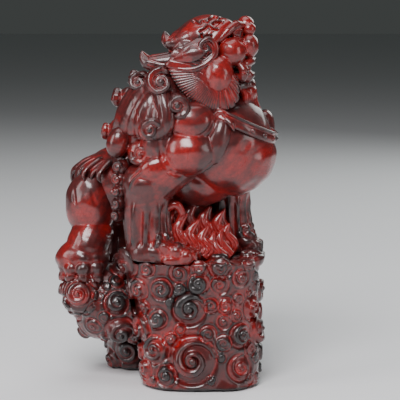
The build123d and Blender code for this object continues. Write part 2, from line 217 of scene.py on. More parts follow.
def scroll(form, skin, middle, radius, hand=1, start=0.0, turns=1.4, lift=None, tail=0.5,
           heavy=1.0, mound=True):
    """Add a coiled scroll that lies on a skin: a tapering tube wound in to a bead, on its own mound."""
    if lift is None:
        lift = sizes().scroll_lift
    place, normal = on_skin(skin, middle)
    up = UP if abs(normal.z) < 0.9 else ACROSS
    side = up.cross(normal).normalized()
    rise = normal.cross(side)
    path, radii, ups = [], [], []
    for step in range(int((turns + tail) * COIL_STEPS) + 1):
        turn = step / COIL_STEPS - tail
        reach = radius * 0.72 * COIL_SHRINK ** max(turn, -0.5)
        angle = start + hand * 2 * math.pi * turn
        spot = place + (side * math.cos(angle) + rise * math.sin(angle)) * reach
        foot, out = on_skin(skin, spot + normal * radius * 0.2)
        out = (out + normal).normalized()
        tube = 0.38 * reach * heavy
        sink = 0.0
        if turn < 0:
            fade = 1 + turn / max(tail, 0.01)
            tube *= 0.3 + 0.7 * fade
            sink = (1 - fade) * 0.6
        height = lift * radius * (1 - 0.8 * reach / radius) - sink * tube
        path.append(foot + out * height)
        radii.append(max(tube, 0.09 * radius))
        ups.append(out)
    sweep(form, path, radii, 1.45, ups, 8)
    disc(form, place + normal * lift * radius, normal, (0.18 * radius,) * 3, 2)
    if mound:
        disc(form, place - normal * 0.14 * radius, normal, (radius, radius, 0.40 * radius))


def edges_of(mesh):
    """The two point numbers of every edge."""
    pairs = np.empty(len(mesh.edges) * 2, dtype=np.int64)
    mesh.edges.foreach_get("vertices", pairs)
    return pairs.reshape(-1, 2)


def relaxed(values, pairs, rounds, strength=0.6):
    """Average a value over mesh neighbours, several times."""
    count = len(values)
    share = np.maximum(np.bincount(pairs.ravel(), minlength=count), 1).astype(float)
    result = values.copy()
    columns = result.reshape(count, -1)
    for _ in range(rounds):
        for column in range(columns.shape[1]):
            line = columns[:, column]
            total = np.bincount(pairs[:, 0], weights=line[pairs[:, 1]], minlength=count)
            total += np.bincount(pairs[:, 1], weights=line[pairs[:, 0]], minlength=count)
            columns[:, column] += strength * (total / share - line)
    return columns.reshape(values.shape)


def normals_of(mesh, places):
    """Outward directions of a mesh once its points are at these places."""
    mesh.vertices.foreach_set("co", places.ravel())
    mesh.update()
    found = np.empty(len(mesh.vertices) * 3)
    mesh.vertex_normals.foreach_get("vector", found)
    return found.reshape(-1, 3)


def ripple(places, size, seed):
    """Smooth seeded unevenness between about -1 and 1, with lumps of this size."""
    draw = np.random.default_rng(seed)
    total = np.zeros(len(places))
    for _ in range(9):
        wave = draw.normal(size=3)
        wave *= 2 * math.pi / (size * np.linalg.norm(wave) * draw.uniform(0.8, 1.5))
        total += np.sin(places @ wave + draw.uniform(0, 2 * math.pi))
    return total / 4


def along(places, path):
    """Distance from each place to a path, and how far along the path it falls, from 0 to 1."""
    best = np.full(len(places), 1e9)
    where = np.zeros(len(places))
    spans = len(path) - 1
    for index in range(spans):
        start, end = np.array(path[index]), np.array(path[index + 1])
        line = end - start
        t = np.clip((places - start) @ line / max(line @ line, 1e-9), 0, 1)
        gap = np.linalg.norm(places - start - t[:, None] * line, axis=1)
        nearer = gap < best
        best[nearer] = gap[nearer]
        where[nearer] = (index + t[nearer]) / spans
    return best, where


def dent(places, normals, middle, radius, depth):
    """Press a soft hollow in round a point."""
    away = np.linalg.norm(places - np.array(middle), axis=1)
    places -= normals * (depth * np.exp(-(away / radius) ** 2))[:, None]


def cut_at(form, height):
    """Cut a form off flat at this height and close it."""
    bmesh.ops.bisect_plane(form, geom=form.verts[:] + form.edges[:] + form.faces[:],
                           plane_co=(0, 0, height), plane_no=(0, 0, 1), clear_inner=True)
    bmesh.ops.holes_fill(form, edges=[edge for edge in form.edges if edge.is_boundary])


def groove(places, normals, points, width, depth, ends=0.12):
    """Cut a rounded groove (or raise a rim, with a negative depth) along a smooth path."""
    path = smooth_path([Vector(point) for point in points], 5)
    gap, where = along(places, path)
    profile = np.clip(1 - (gap / width) ** 2, 0, 1) ** 2
    fade = np.clip(np.minimum(where, 1 - where) / ends, 0, 1) if ends else 1
    places -= normals * (depth * profile * fade)[:, None]


def step_between(low, high, values):
    """A smooth step: 0 up to low, 1 from high on."""
    t = np.clip((values - low) / (high - low), 0, 1)
    return t * t * (3 - 2 * t)


# ---- finishes ----------------------------------------------------------------

def add_node(tree, kind, place, **values):
    """Add a shader node and set its own settings."""
    node = tree.nodes.new(kind)
    node.location = place
    for name, value in values.items():
        setattr(node, name, value)
    return node


def ramp(tree, place, stops):
    """Add a colour ramp with these positions and colours."""
    node = add_node(tree, "ShaderNodeValToRGB", place)
    while len(node.color_ramp.elements) > 1:
        node.color_ramp.elements.remove(node.color_ramp.elements[-1])
    node.color_ramp.elements[0].position = stops[0][0]
    node.color_ramp.elements[0].color = (*stops[0][1], 1)
    for position, colour in stops[1:]:
        node.color_ramp.elements.new(position).color = (*colour, 1)
    return node


def mixed(tree, place, factor, first, second, blend="MIX"):
    """Blend two colours; the factor and the second one are a socket or a constant."""
    node = add_node(tree, "ShaderNodeMix", place, data_type="RGBA", blend_type=blend)
    if isinstance(factor, float):
        node.inputs["Factor"].default_value = factor
    else:
        tree.links.new(factor, node.inputs["Factor"])
    tree.links.new(first, node.inputs["A"])
    if isinstance(second, tuple):
        node.inputs["B"].default_value = (*second, 1)
    else:
        tree.links.new(second, node.inputs["B"])
    return node.outputs["Result"]


def lacquer(name, red, brown, black, black_share, recess):
    """Rubbed lacquer: red in the hollows, brown on the crowns, painted shade in the deepest hollows, with
    black patches and a clear gloss.
    """
    material = bpy.data.materials.new(name)
    material.use_nodes = True
    tree = material.node_tree
    shader = tree.nodes["Principled BSDF"]
    place = add_node(tree, "ShaderNodeTexCoord", (-1500, 0))
    rubbed_wear_and_shade = add_node(tree, "ShaderNodeAttribute", (-1500, 400), attribute_name="hollow")
    # Colour by hollow depth: darker brown on the highest crowns, then brown, red and hollow red; the last
    # stop darkens the deepest hollows to a third of the hollow red, which is painted shade.
    tone = ramp(tree, (-900, 400), [
        (0.12, tuple(value * 0.7 for value in brown)), (0.36, brown), (0.50, red), (0.78, recess),
        (1.0, tuple(value * 0.3 for value in recess)),
    ])
    tree.links.new(rubbed_wear_and_shade.outputs["Fac"], tone.inputs["Fac"])

    patches = add_node(tree, "ShaderNodeTexNoise", (-1200, 0))
    patches.inputs["Scale"].default_value = 30
    patches.inputs["Detail"].default_value = 5
    patches.inputs["Roughness"].default_value = 0.62
    patches.inputs["Distortion"].default_value = 0.6
    tree.links.new(place.outputs["Object"], patches.inputs["Vector"])
    low = 0.60 - black_share * 0.3
    spread = ramp(tree, (-900, 0), [(low, (0, 0, 0)), (low + 0.13, (1, 1, 1))])
    tree.links.new(patches.outputs["Fac"], spread.inputs["Fac"])
    crown = ramp(tree, (-900, 200), [(0.35, (1, 1, 1)), (0.80, (0.15, 0.15, 0.15))])
    tree.links.new(rubbed_wear_and_shade.outputs["Fac"], crown.inputs["Fac"])
    where_black = add_node(tree, "ShaderNodeMath", (-600, 100), operation="MULTIPLY")
    tree.links.new(spread.outputs["Color"], where_black.inputs[0])
    tree.links.new(crown.outputs["Color"], where_black.inputs[1])

    rubbed = mixed(tree, (-350, 300), where_black.outputs["Value"], tone.outputs["Color"], black)
    speck = add_node(tree, "ShaderNodeTexNoise", (-1200, -300))
    speck.inputs["Scale"].default_value = 520
    speck.inputs["Detail"].default_value = 4
    speck.inputs["Roughness"].default_value = 0.7
    tree.links.new(place.outputs["Object"], speck.inputs["Vector"])
    fleck = ramp(tree, (-900, -300), [(0.36, (0.50, 0.48, 0.48)), (0.66, (1.45, 1.35, 1.35))])
    tree.links.new(speck.outputs["Fac"], fleck.inputs["Fac"])
    final = mixed(tree, (-100, 250), 0.55, rubbed, fleck.outputs["Color"], "MULTIPLY")
    tree.links.new(final, shader.inputs["Base Color"])

    gloss = ramp(tree, (-600, -150), [(0.35, (0.24, 0.24, 0.24)), (0.65, (0.50, 0.50, 0.50))])
    tree.links.new(patches.outputs["Fac"], gloss.inputs["Fac"])
    tree.links.new(gloss.outputs["Color"], shader.inputs["Roughness"])
    shader.inputs["Coat Weight"].default_value = 0.9
    shader.inputs["Coat Roughness"].default_value = 0.17
    shader.inputs["Specular IOR Level"].default_value = 0.3

    tooling = add_node(tree, "ShaderNodeTexNoise", (-900, -600))
    tooling.inputs["Scale"].default_value = 420
    tooling.inputs["Detail"].default_value = 3
    tree.links.new(place.outputs["Object"], tooling.inputs["Vector"])
    bump = add_node(tree, "ShaderNodeBump", (-300, -500))
    bump.inputs["Strength"].default_value = 0.22
    bump.inputs["Distance"].default_value = 0.0006
    tree.links.new(tooling.outputs["Fac"], bump.inputs["Height"])
    tree.links.new(bump.outputs["Normal"], shader.inputs["Normal"])
    return material


def plain(name, colour, dark, scale, roughness):
    """Felt or wood: two tones of one colour in a fine noise."""
    material = bpy.data.materials.new(name)
    material.use_nodes = True
    tree = material.node_tree
    shader = tree.nodes["Principled BSDF"]
    place = add_node(tree, "ShaderNodeTexCoord", (-900, 0))
    noise = add_node(tree, "ShaderNodeTexNoise", (-700, 0))
    noise.inputs["Scale"].default_value = scale
    noise.inputs["Detail"].default_value = 6
    tree.links.new(place.outputs["Object"], noise.inputs["Vector"])
    tone = ramp(tree, (-450, 0), [(0.35, dark), (0.65, colour)])
    tree.links.new(noise.outputs["Fac"], tone.inputs["Fac"])
    tree.links.new(tone.outputs["Color"], shader.inputs["Base Color"])
    shader.inputs["Roughness"].default_value = roughness
    bump = add_node(tree, "ShaderNodeBump", (-300, -300))
    bump.inputs["Strength"].default_value = 0.5
    bump.inputs["Distance"].default_value = 0.0003
    tree.links.new(noise.outputs["Fac"], bump.inputs["Height"])
    tree.links.new(bump.outputs["Normal"], shader.inputs["Normal"])
    return material


FINISHES = {}
BLACK_SHARES = {"lacquer_rock": 0.75, "lacquer_dark": 1.2, "lacquer_coat": 0.62, "lacquer_mane": 0.75,
                "lacquer_red": 0.1}


def finish_for(slot):
    """The material of a slot, made once from the colours in the sidebar."""
    if slot in FINISHES:
        return FINISHES[slot]
    colours = bpy.context.scene.foo_dog_finish
    red, brown, black, recess = (tuple(colour) for colour in (
        colours.red, colours.brown, colours.black, colours.recess))
    if slot == "felt":
        made = plain("Dark felt", (0.014, 0.018, 0.015), (0.006, 0.008, 0.007), 2500, 0.95)
    elif slot == "dowel_wood":
        made = plain("Beech dowel", (0.52, 0.36, 0.2), (0.36, 0.23, 0.12), 300, 0.6)
    else:
        if slot == "lacquer_red":
            brown = tuple(value * 1.2 for value in red)
        made = lacquer(slot.replace("_", " ").capitalize(), red, brown, black, BLACK_SHARES[slot], recess)
    FINISHES[slot] = made
    return made


def drop_crumbs(mesh):
    """Delete doubled faces, and specks of a few faces, that fusing and thinning leave."""
    form = bmesh.new()
    form.from_mesh(mesh)
    twins = {}
    for face in form.faces:
        twins.setdefault(frozenset(face.verts), []).append(face)
    doubled = [face for faces in twins.values() if len(faces) > 1 for face in faces]
    if doubled:
        bmesh.ops.delete(form, geom=doubled, context="FACES")
    left = set(form.verts)
    crumbs = []
    while left:
        edge = [left.pop()]
        island = list(edge)
        while edge:
            for link in edge.pop().link_edges:
                for vert in link.verts:
                    if vert in left:
                        left.remove(vert)
                        edge.append(vert)
                        island.append(vert)
        if len(island) < SMALLEST_SHELL:
            crumbs += island
    if crumbs:
        bmesh.ops.delete(form, geom=crumbs, context="VERTS")
    if crumbs or doubled:
        form.to_mesh(mesh)
    form.free()


def settle(piece):
    """Give a piece the mesh that its modifier makes, and drop the modifier and the old mesh."""
    old = piece.data
    made = bpy.data.meshes.new_from_object(piece.evaluated_get(bpy.context.evaluated_depsgraph_get()))
    piece.modifiers.clear()
    piece.data = made
    bpy.data.meshes.remove(old)
    made.name = piece.name
    return made


def finish_piece(form, name, nodes, slot, voxel, rounds=2, carve=None, reach=(3, 14), most=MOST_TRIANGLES):
    """Fuse a carved form, carve its lines, mark its hollows and put it in the frame."""
    mesh = bpy.data.meshes.new(name)
    form.to_mesh(mesh)
    form.free()
    piece = bpy.data.objects.new(name, mesh)
    bpy.context.collection.objects.link(piece)
    fuse = piece.modifiers.new("fuse", "REMESH")
    fuse.mode = "VOXEL"
    fuse.voxel_size = voxel
    fused = settle(piece)

    count = len(fused.vertices)
    places = np.empty(count * 3)
    fused.vertices.foreach_get("co", places)
    places = places.reshape(-1, 3)
    pairs = edges_of(fused)
    places = relaxed(places, pairs, rounds)
    if carve:
        carve(places, normals_of(fused, places))
        places = relaxed(places, pairs, 1, 0.4)
    normals = normals_of(fused, places)
    hollow = np.zeros(count)
    soft = places
    done = 0
    for wanted in reach:
        soft = relaxed(soft, pairs, wanted - done)
        done = wanted
        depth = ((soft - places) * normals).sum(axis=1)
        hollow += depth / (voxel * wanted ** 0.5 * 0.55)
    hollow = relaxed(hollow / len(reach), pairs, 1)
    mark = fused.attributes.new("hollow", "FLOAT", "POINT")
    mark.data.foreach_set("value", np.clip(0.5 + 0.5 * hollow, 0, 1).astype(np.float32))
    fused.vertices.foreach_set("co", (places * MM).ravel())
    fused.update()
    thin = piece.modifiers.new("thin", "DECIMATE")
    thin.ratio = min(KEPT_SHARE, most / (2 * len(fused.polygons)))
    thinned = settle(piece)
    drop_crumbs(thinned)
    thinned.shade_smooth()
    thinned.materials.clear()
    thinned.materials.append(finish_for(slot))
    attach(piece, "root")
    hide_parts(*nodes)


def node_form(node, shrink):
    """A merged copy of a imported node, in millimetres, with its sides drawn in by shrink."""
    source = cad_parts[node]
    low, high = corners(node)
    form = bmesh.new()
    form.from_mesh(source.data)
    bmesh.ops.scale(form, vec=(1 / MM,) * 3, verts=form.verts)
    bmesh.ops.remove_doubles(form, verts=form.verts, dist=0.01)
    form.normal_update()
    for vert in form.verts:
        was = vert.co.z
        vert.co -= vert.normal * shrink
        if was < low.z + 0.1 or was > high.z - 0.1:
            vert.co.z = was
    return form


# ---- the rock ----------------------------------------------------------------

SCROLL_TRIES = 420
SCROLL_SPACING = 1.08


def fill_with_scrolls(form, skin, low, high, taken, radii, seed, keep):
    """Cover the bare parts of a skin with scrolls of falling size, none on top of another."""
    draw = np.random.default_rng(seed)
    for radius in radii:
        for _ in range(SCROLL_TRIES):
            spot = Vector([draw.uniform(low[axis], high[axis]) for axis in range(3)])
            place, normal = on_skin(skin, spot)
            if not keep(place, normal):
                continue
            if any((place - other).length < SCROLL_SPACING * (radius + reach) for other, reach in taken):
                continue
            taken.append((place, radius))
            hand = 1 if draw.random() < 0.5 else -1
            scroll(form, skin, place, radius, hand, draw.uniform(0, 2 * math.pi),
                   turns=1.2 + 0.4 * draw.random(), tail=0.4 + 0.3 * draw.random())


def face_scrolls(form, skin, rows, taken):
    """Scrolls listed for the face towards -Y: across, up, radius, hand and starting angle."""
    for across, up, radius, hand, start in rows:
        place, _, _, _ = skin.ray_cast(Vector((across, -200, up)), ACROSS)
        if place is None:
            continue
        taken.append((place, radius))
        scroll(form, skin, place, radius, hand, math.radians(start))


def carve_rock(taken, seed, share=1.0):
    """Uneven stone, with a moat and a raised lip round each scroll."""
    def carve(places, normals):
        shift = share * sizes().rock_swell / MM * ripple(places, 24, seed)
        for middle, radius in taken:
            gap = np.linalg.norm(places - np.array(middle), axis=1) / radius
            near = gap < 2
            ratio = gap[near]
            moat = -sizes().moat_depth * np.exp(-((ratio - 1.16) / 0.12) ** 2)
            lip = 0.06 * np.exp(-((ratio - 1.45) / 0.18) ** 2)
            shift[near] += radius * (moat + lip)
        places += normals * np.clip(shift, -3.5, 3.0)[:, None]
        places[:, 2] = np.maximum(places[:, 2], ROCK_LOW.z)
    return carve


PEDESTAL_SCROLLS = [
    (-40, 68, 6.2, 1, 200), (-25.5, 69, 6.2, -1, 20), (-14, 80, 5.2, 1, 120), (-1, 84, 5.4, -1, 60),
    (14, 84, 6.8, 1, 160), (-1, 73, 5.8, 1, 250), (13, 72, 5.2, -1, 90), (-7, 56, 9.2, 1, 190),
    (7, 58, 4.4, -1, 30), (17, 58, 4.7, 1, 300), (24, 51, 3.6, -1, 0), (15.5, 47, 4.2, 1, 180),
    (-28, 49, 5.8, 1, 270), (-43, 49, 4.0, -1, 45), (27, 37, 7.0, 1, 200), (15.5, 33, 4.6, -1, 150),
    (-29.5, 27.5, 8.2, 1, 230), (-19, 35, 4.4, -1, 60), (-5, 21.5, 13.4, 1, 185), (27, 15.5, 7.6, 1, 240),
    (-36, 12.5, 6.0, -1, 130), (-22.5, 11, 6.2, 1, 90), (39, 53, 4.6, 1, 20), (37, 69, 4.2, -1, 220),
    (40, 32, 4.7, 1, 100), (40, 13, 4.8, -1, 10), (25, 62, 3.4, 1, 120), (-13, 42, 3.6, -1, 200),
    (27, 76, 5.0, 1, 220),
]


def carve_pedestal():
    """The upright rock, with listed scrolls on the side towards -Y and filled ones elsewhere."""
    form = node_form("pedestal", 2.4)
    skin = skin_of(form)
    taken = []
    face_scrolls(form, skin, PEDESTAL_SCROLLS, taken)

    flame_foot = (NEAR_FOOT + FAR_FOOT) / 2

    def bare(place, normal):
        if normal.z > 0.55:
            clear = all((place - (foot + Vector((10, 0, 0)))).length > 26 for foot in (NEAR_FOOT, FAR_FOOT))
            return clear and (place - flame_foot).length > 22
        return place.z > ROCK_LOW.z + 4 and not (place.x < -30 and -12 < place.y < 36)

    fill_with_scrolls(form, skin, ROCK_LOW, ROCK_HIGH, taken, (9.5, 7.5, 6, 4.8, 3.8, 3.0),
                      sizes().scroll_seed, bare)
    finish_piece(form, "pedestal_rock", ["pedestal"], "lacquer_rock", 0.46, 2, carve_rock(taken, 3))


SHELF_SCROLLS = [
    (-56, 68, 4.2, 1, 180), (-63, 65, 3.0, -1, 40), (-56, 55, 7.0, 1, 200), (-54, 35, 9.0, 1, 170),
    (-43, 47, 3.6, -1, 300), (-72, 39, 5.6, 1, 150), (-64, 46, 3.6, -1, 90), (-64, 30, 4.0, 1, 30),
    (-46, 63, 3.4, -1, 0), (-47, 25, 4.4, -1, 220),
]


def carve_shelf():
    """The lump of rock that leans out behind the column."""
    low, high = corners("rear_shelf_rock")
    form = node_form("rear_shelf_rock", 1.8)
    middle = (low + high) / 2
    ball(form, middle + Vector((-3, -6, -2)), (27, 22, 20), (0, 33, 0))
    ball(form, Vector((low.x + 14, middle.y - 4, high.z - 26)), (15, 20, 13))
    ball(form, Vector((-67, 8, 42)), (20, 17, 16), (0, 32, 0))
    skin = skin_of(form)
    taken = []
    face_scrolls(form, skin, SHELF_SCROLLS, taken)

    def bare(place, normal):
        return place.x < ROCK_LOW.x + 14 and normal.z < 0.75

    fill_with_scrolls(form, skin, low, high, taken, (8.5, 7, 5.5, 4.4, 3.4), 23, bare)
    finish_piece(form, "shelf_rock", ["rear_shelf_rock"], "lacquer_rock", 0.5, 2,
                 carve_rock(taken, 8), most=150000)


def carve_foot_rock():
    """The dark separate rock at the back of the base."""
    low, high = corners("rear_foot_rock")
    form = node_form("rear_foot_rock", 1.8)
    skin = skin_of(form)
    taken = []

    def bare(place, normal):
        return normal.z < 0.6 and place.z > low.z + 3

    fill_with_scrolls(form, skin, low, high, taken, (8, 6.5, 5, 4), 31, bare)
    finish_piece(form, "foot_rock", ["rear_foot_rock"], "lacquer_dark", 0.55, 2,
                 carve_rock(taken, 5), most=100000)


def carve_paw_ball():
    """The ball under the right hind paw, with one large scroll."""
    form = bmesh.new()
    ball(form, PAW_BALL + Vector((-1, 0, 0)), (13.2, 13.2, 13.0))
    skin = skin_of(form)
    taken = []
    big = PAW_BALL + Vector((-2, -13, 2))
    taken.append((on_skin(skin, big)[0], 8.4))
    scroll(form, skin, big, 8.4, 1, math.radians(200))
    reach = Vector((BALL_RADIUS,) * 3)
    fill_with_scrolls(form, skin, PAW_BALL - reach, PAW_BALL + reach,
                      taken, (5.5, 4.2, 3.2), 5, lambda place, normal: normal.x < 0.8)
    finish_piece(form, "scroll_ball_carved", ["scroll_ball"], "lacquer_rock", 0.4, 2,
                 carve_rock(taken, 4, 0.35), most=80000)


# ---- the body and legs -------------------------------------------------------

def carve_torso():
    """Chest, belly, neck, barrel, loins and rump in one skin."""
    form = bmesh.new()
    barrel = CHEST - HEADING * 34 + Vector((0, 0, -3))
    loin = barrel - HEADING * 20 + Vector((0, 0, -14))
    rump = loin - HEADING * 20 + Vector((0, 0, -14))
    ball(form, CHEST, (34.3, 31.0, 35.6), detail=5)
    ball(form, CHEST + Vector((-12, 0, 30)), (24, 23, 23))
    ball(form, CHEST + Vector((3, 0, -8)), (34, 29, 28), detail=5)
    ball(form, CHEST + Vector((-16, 3, -24)), (27, 23, 19), (0, 0, -20), 5)
    ball(form, barrel, (33, 29, 31), (0, 0, -20), 5)
    ball(form, loin, (28, 26, 27), (0, 0, -20), 5)
    ball(form, rump, (26.5, 24.5, 26.5), (0, 0, -20), 5)

    def carve(places, normals):
        places += normals * (0.35 * ripple(places, 11, 4))[:, None]
        for side in (-1, 1):
            edge = about(CHEST, (8, side * 33, 14), (19, side * 30, 8), (23, side * 28, -2),
                         (18, side * 28, -12), (6, side * 28, -20), (-8, side * 26, -23))
            groove(places, normals, edge, 1.8, 1.5)
            rim = [point + Vector((2.6, 0, -1.6)) for point in edge]
            groove(places, normals, rim, 1.8, -1.1)
            for row in range(4):
                start = barrel + Vector((8 - 9 * row, side * 28, 12))
                groove(places, normals, [start, start + Vector((-4, side * 3, -12)),
                                         start + Vector((-4, side * 1, -26))], 3.4, 1.0)
    finish_piece(form, "torso_carved", ["torso"], "lacquer_coat", 0.75, 3, carve)


def toes(form, heel, direction, width, length, size):
    """Four fat knuckled toes with short claws, in front of a heel point on the stand."""
    ahead = Vector(direction).normalized()
    side = ahead.cross(UP)
    for index in range(4):
        spread = (index - 1.5) / 1.5
        reach = length * (1 - 0.16 * abs(spread))
        root = heel + side * spread * width * 0.72
        line = ahead + side * spread * 0.16
        for along_toe, rise, radius in ((0.25, 1.75, 0.95), (0.52, 1.55, 1.08), (0.80, 0.95, 1.02)):
            knuckle = root + line * reach * along_toe + Vector((0, 0, rise * size))
            ball(form, knuckle, (radius * size,) * 3, detail=3)
        middle = root + line * reach * 0.5 + Vector((0, 0, size * 0.6))
        ball(form, middle, (reach * 0.42, size, size * 0.9), detail=3)
        nail = root + line * (reach * 0.80 + size * 0.7) + Vector((0, 0, size * 1.1))
        tip = nail + line * size * 0.6 - Vector((0, 0, size * 0.9))
        ribbon(form, [nail - line * size * 0.4, nail + line * size * 0.35, tip],
               (size * 0.42, size * 0.36, 0.3), 1.0, UP, 10)


def carve_foreleg(foot, out, girth, name, node, shoulder, paw_reach):
    """Column leg with a fluted shin, a folded forearm, three shoulder muscles and a flat paw."""
    form = bmesh.new()
    side = Vector((0, out, 0))
    knee = foot + Vector((1, 0, 50))
    ribbon(form, [foot + UP, foot + Vector((0.5, 0, 14)), foot + Vector((-1, 0, 32)), knee],
           (girth, girth * 0.90, girth * 0.90, girth * 1.02), 0.95, ACROSS, 28)
    ball(form, knee + Vector((-1, 0, 1)), (girth * 1.06, girth * 0.98, girth * 0.95))
    ribbon(form, [knee + Vector((-1, 0, -2)), knee + (shoulder - knee) * 0.45 + side * 1,
                  shoulder + Vector((0, 0, -4))],
           (girth * 0.98, girth * 1.02, girth * 0.9), 0.95, ACROSS, 24)
    ribbon(form, [knee + side * 6 + Vector((-9, 0, 2)), knee + side * 11 + Vector((3, 0, 12)),
                  knee + side * 9 + Vector((18, 0, 16)), shoulder + side * 2 + Vector((10, 0, -10))],
           (5, 8.5, 8, 4), 0.8, side, 16)
    ball(form, shoulder + side * 9 + Vector((1, 0, -0.5)), (18.2, 15.0, 16.0), detail=5)
    ball(form, shoulder + side * 9 + Vector((2.5, 0, 18.5)), (16.6, 13.4, 14.0), detail=5)
    ball(form, shoulder + side * 7 + Vector((19.5, 0, 7)), (9.0, 12.0, 18), (0, 12, 0), detail=5)
    ball(form, shoulder + side * 3 + Vector((-17, 0, 4)), (15, 14, 18), (0, 18, 0), detail=5)
    ball(form, knee + Vector((10, 0, 14)), (14, 12, 13), detail=5)
    ball(form, foot + Vector((paw_reach * 0.25, out * 1, 6)), (girth * 0.95, girth * 0.92, 10.5), (0, 16, 0))
    toes(form, foot + Vector((girth * 0.45, out * 1, 0)), (1, 0, 0), girth, paw_reach,
         sizes().toe_size / MM)
    for index in range(12):
        around = math.radians(-62 + 20 * (index % 6 + 0.5 * (index // 6)))
        reach = girth * (0.86 - 0.08 * (index // 6))
        scale = foot + Vector((math.cos(around) * reach, math.sin(around) * reach, 13 + 4 * (index // 6)))
        ball(form, scale, (3.6, 3.6, 3.0), detail=3)
    cut_at(form, foot.z + 0.2)

    def carve(places, normals):
        lift = places[:, 2] - foot.z
        across = places[:, 0] - foot.x
        around = np.arctan2((places[:, 1] - foot.y) * out, across)
        shin = step_between(9, 15, lift) * (1 - step_between(32, 42, lift))
        flutes = np.cos(around * 11 + 0.04 * lift) * 0.55 + np.cos(around * 5 + 1) * 0.35
        places += normals * (shin * flutes * sizes().flute_depth / MM)[:, None]
        places += normals * (0.28 * ripple(places, 9, 6))[:, None]
        fold = about(knee + side * girth * 0.8, (-15, 0, -10), (-14, 0, 2), (-8, 0, 10), (1, 0, 14),
                     (12, 0, 13))
        groove(places, normals, fold, 1.8, 2.0)
        groove(places, normals, [point + Vector((1.6, 0, -2.2)) for point in fold], 1.8, -1.2)
        wrap = about(shoulder + side * 18, (-11, 0, 30), (2, 0, 35), (13, 0, 31), (17, 0, 22), (11, 0, 13),
                     (2, 0, 10), (-12, 0, 12))
        groove(places, normals, wrap, 2.4, 1.2)
        under = about(shoulder + side * 16, (-18, 0, 8), (-16, 0, -8), (-6, 0, -16), (8, 0, -15), (17, 0, -6))
        groove(places, normals, under, 2.4, 1.6)
        sole = [foot + Vector((girth * math.cos(a) * 1.02, out * girth * math.sin(a) * 0.98, 4.5))
                for a in np.linspace(-0.3, math.pi + 0.5, 12)]
        groove(places, normals, sole, 0.9, 0.5)
    finish_piece(form, name, [node], "lacquer_coat", 0.55, 2, carve)


def carve_near_foreleg():
    """The right foreleg, which stands nearer the viewer."""
    carve_foreleg(NEAR_FOOT + Vector((-1, 0, 0)), -1, 16.2, "near_foreleg", "right_foreleg",
                  NEAR_FOOT + Vector((26, 1, 74)), 27)


def carve_far_foreleg():
    """The left foreleg, at the front corner of the rock."""
    carve_foreleg(FAR_FOOT + Vector((-1, 0, 0)), 1, 12.6, "far_foreleg", "left_foreleg",
                  FAR_FOOT + Vector((-1, 4, 72)), 10)


def carve_hind_leg(thigh, paw, out, name, node, extra):
    """Folded hind leg: thigh, crease, shank and a broad clawed paw."""
    form = bmesh.new()
    ball(form, thigh + Vector((0, 0, -4)), (17.6, 16.8, 24.5), detail=5)
    ribbon(form, [thigh + Vector((2, 0, -20)), paw + Vector((2, 0, 12)), paw + Vector((1, 0, 3))],
           (14.5, 14, 14), 0.95, ACROSS, 20)
    ball(form, paw + Vector((-1.5, 0, 3)), (18.4, 15.6, 13), detail=5)
    extra(form)

    def carve(places, normals):
        places += normals * (0.3 * ripple(places, 10, 9))[:, None]
        crease = [thigh + Vector((15.5 * math.cos(a), out * 15 * math.sin(a), 2.0 * math.sin(a) - 26))
                  for a in np.linspace(-0.4, math.pi + 0.3, 10)]
        groove(places, normals, crease, 2.2, 1.2)
        for swing in (-0.9, 0.0, 0.9):
            turns = [swing + 0.1 * step for step in range(4)]
            line = [thigh + Vector((16 * math.sin(turn), out * 16.5 * math.cos(turn), 12 - 5 * step))
                    for step, turn in enumerate(turns)]
            groove(places, normals, line, 2.2, 0.7, 0.3)
    finish_piece(form, name, [node], "lacquer_coat", 0.6, 2, carve, most=150000)


def carve_right_hind():
    """The near hind leg, its paw on the ball."""
    paw = PAW_BALL + Vector((1, 8, 20))

    def claws(form):
        ball(form, paw + Vector((0, -1, -2)), (15, 13.5, 11))
        for index in range(4):
            angle = math.radians(-166 + 38 * index)
            out = Vector((math.cos(angle), math.sin(angle), 0))
            for reach, rise, radius in ((10.5, 4.0, 5.8), (13.0, -2.5, 5.6), (14.0, -8.5, 4.5)):
                ball(form, paw + out * reach + Vector((0, 0, rise)), (radius,) * 3, detail=3)
            nail = paw + out * 17.0 + Vector((0, 0, -9.0))
            tip = nail + out * 0.3 - Vector((0, 0, 3.0))
            ribbon(form, [nail - out * 2.5, nail, tip], (2.0, 1.7, 0.4), 1.0, out, 8)
    carve_hind_leg(HAUNCH + ACROSS, paw, -1, "right_hind_carved", "right_hind_leg", claws)


def carve_left_hind():
    """The far hind leg, its paw flat on the shelf."""
    low, high = corners("left_hind_leg")
    thigh = Vector(((low.x + high.x) / 2, high.y - 18, high.z - 21))
    paw = Vector((thigh.x - 1, thigh.y - 5, low.z + 13))

    def claws(form):
        toes(form, paw + Vector((-2, 6, -12)), (-0.45, 1, 0), 13, 18, 4.8)
    carve_hind_leg(thigh, paw, 1, "left_hind_carved", "left_hind_leg", claws)


# ---- tail, mane and curls ----------------------------------------------------

def leaf(form, points, width, thick, up):
    """A pointed leaf with a swollen middle, lying along given points."""
    path = smooth_path([Vector(point) for point in points], 7)
    steps = np.linspace(0, 1, len(path))
    widths = width * (0.45 + 0.65 * np.sin(math.pi * (0.15 + 0.7 * steps))) * (1 - steps ** 3)
    sweep(form, path, list(np.maximum(widths, 0.3)), thick / width, up, 14)


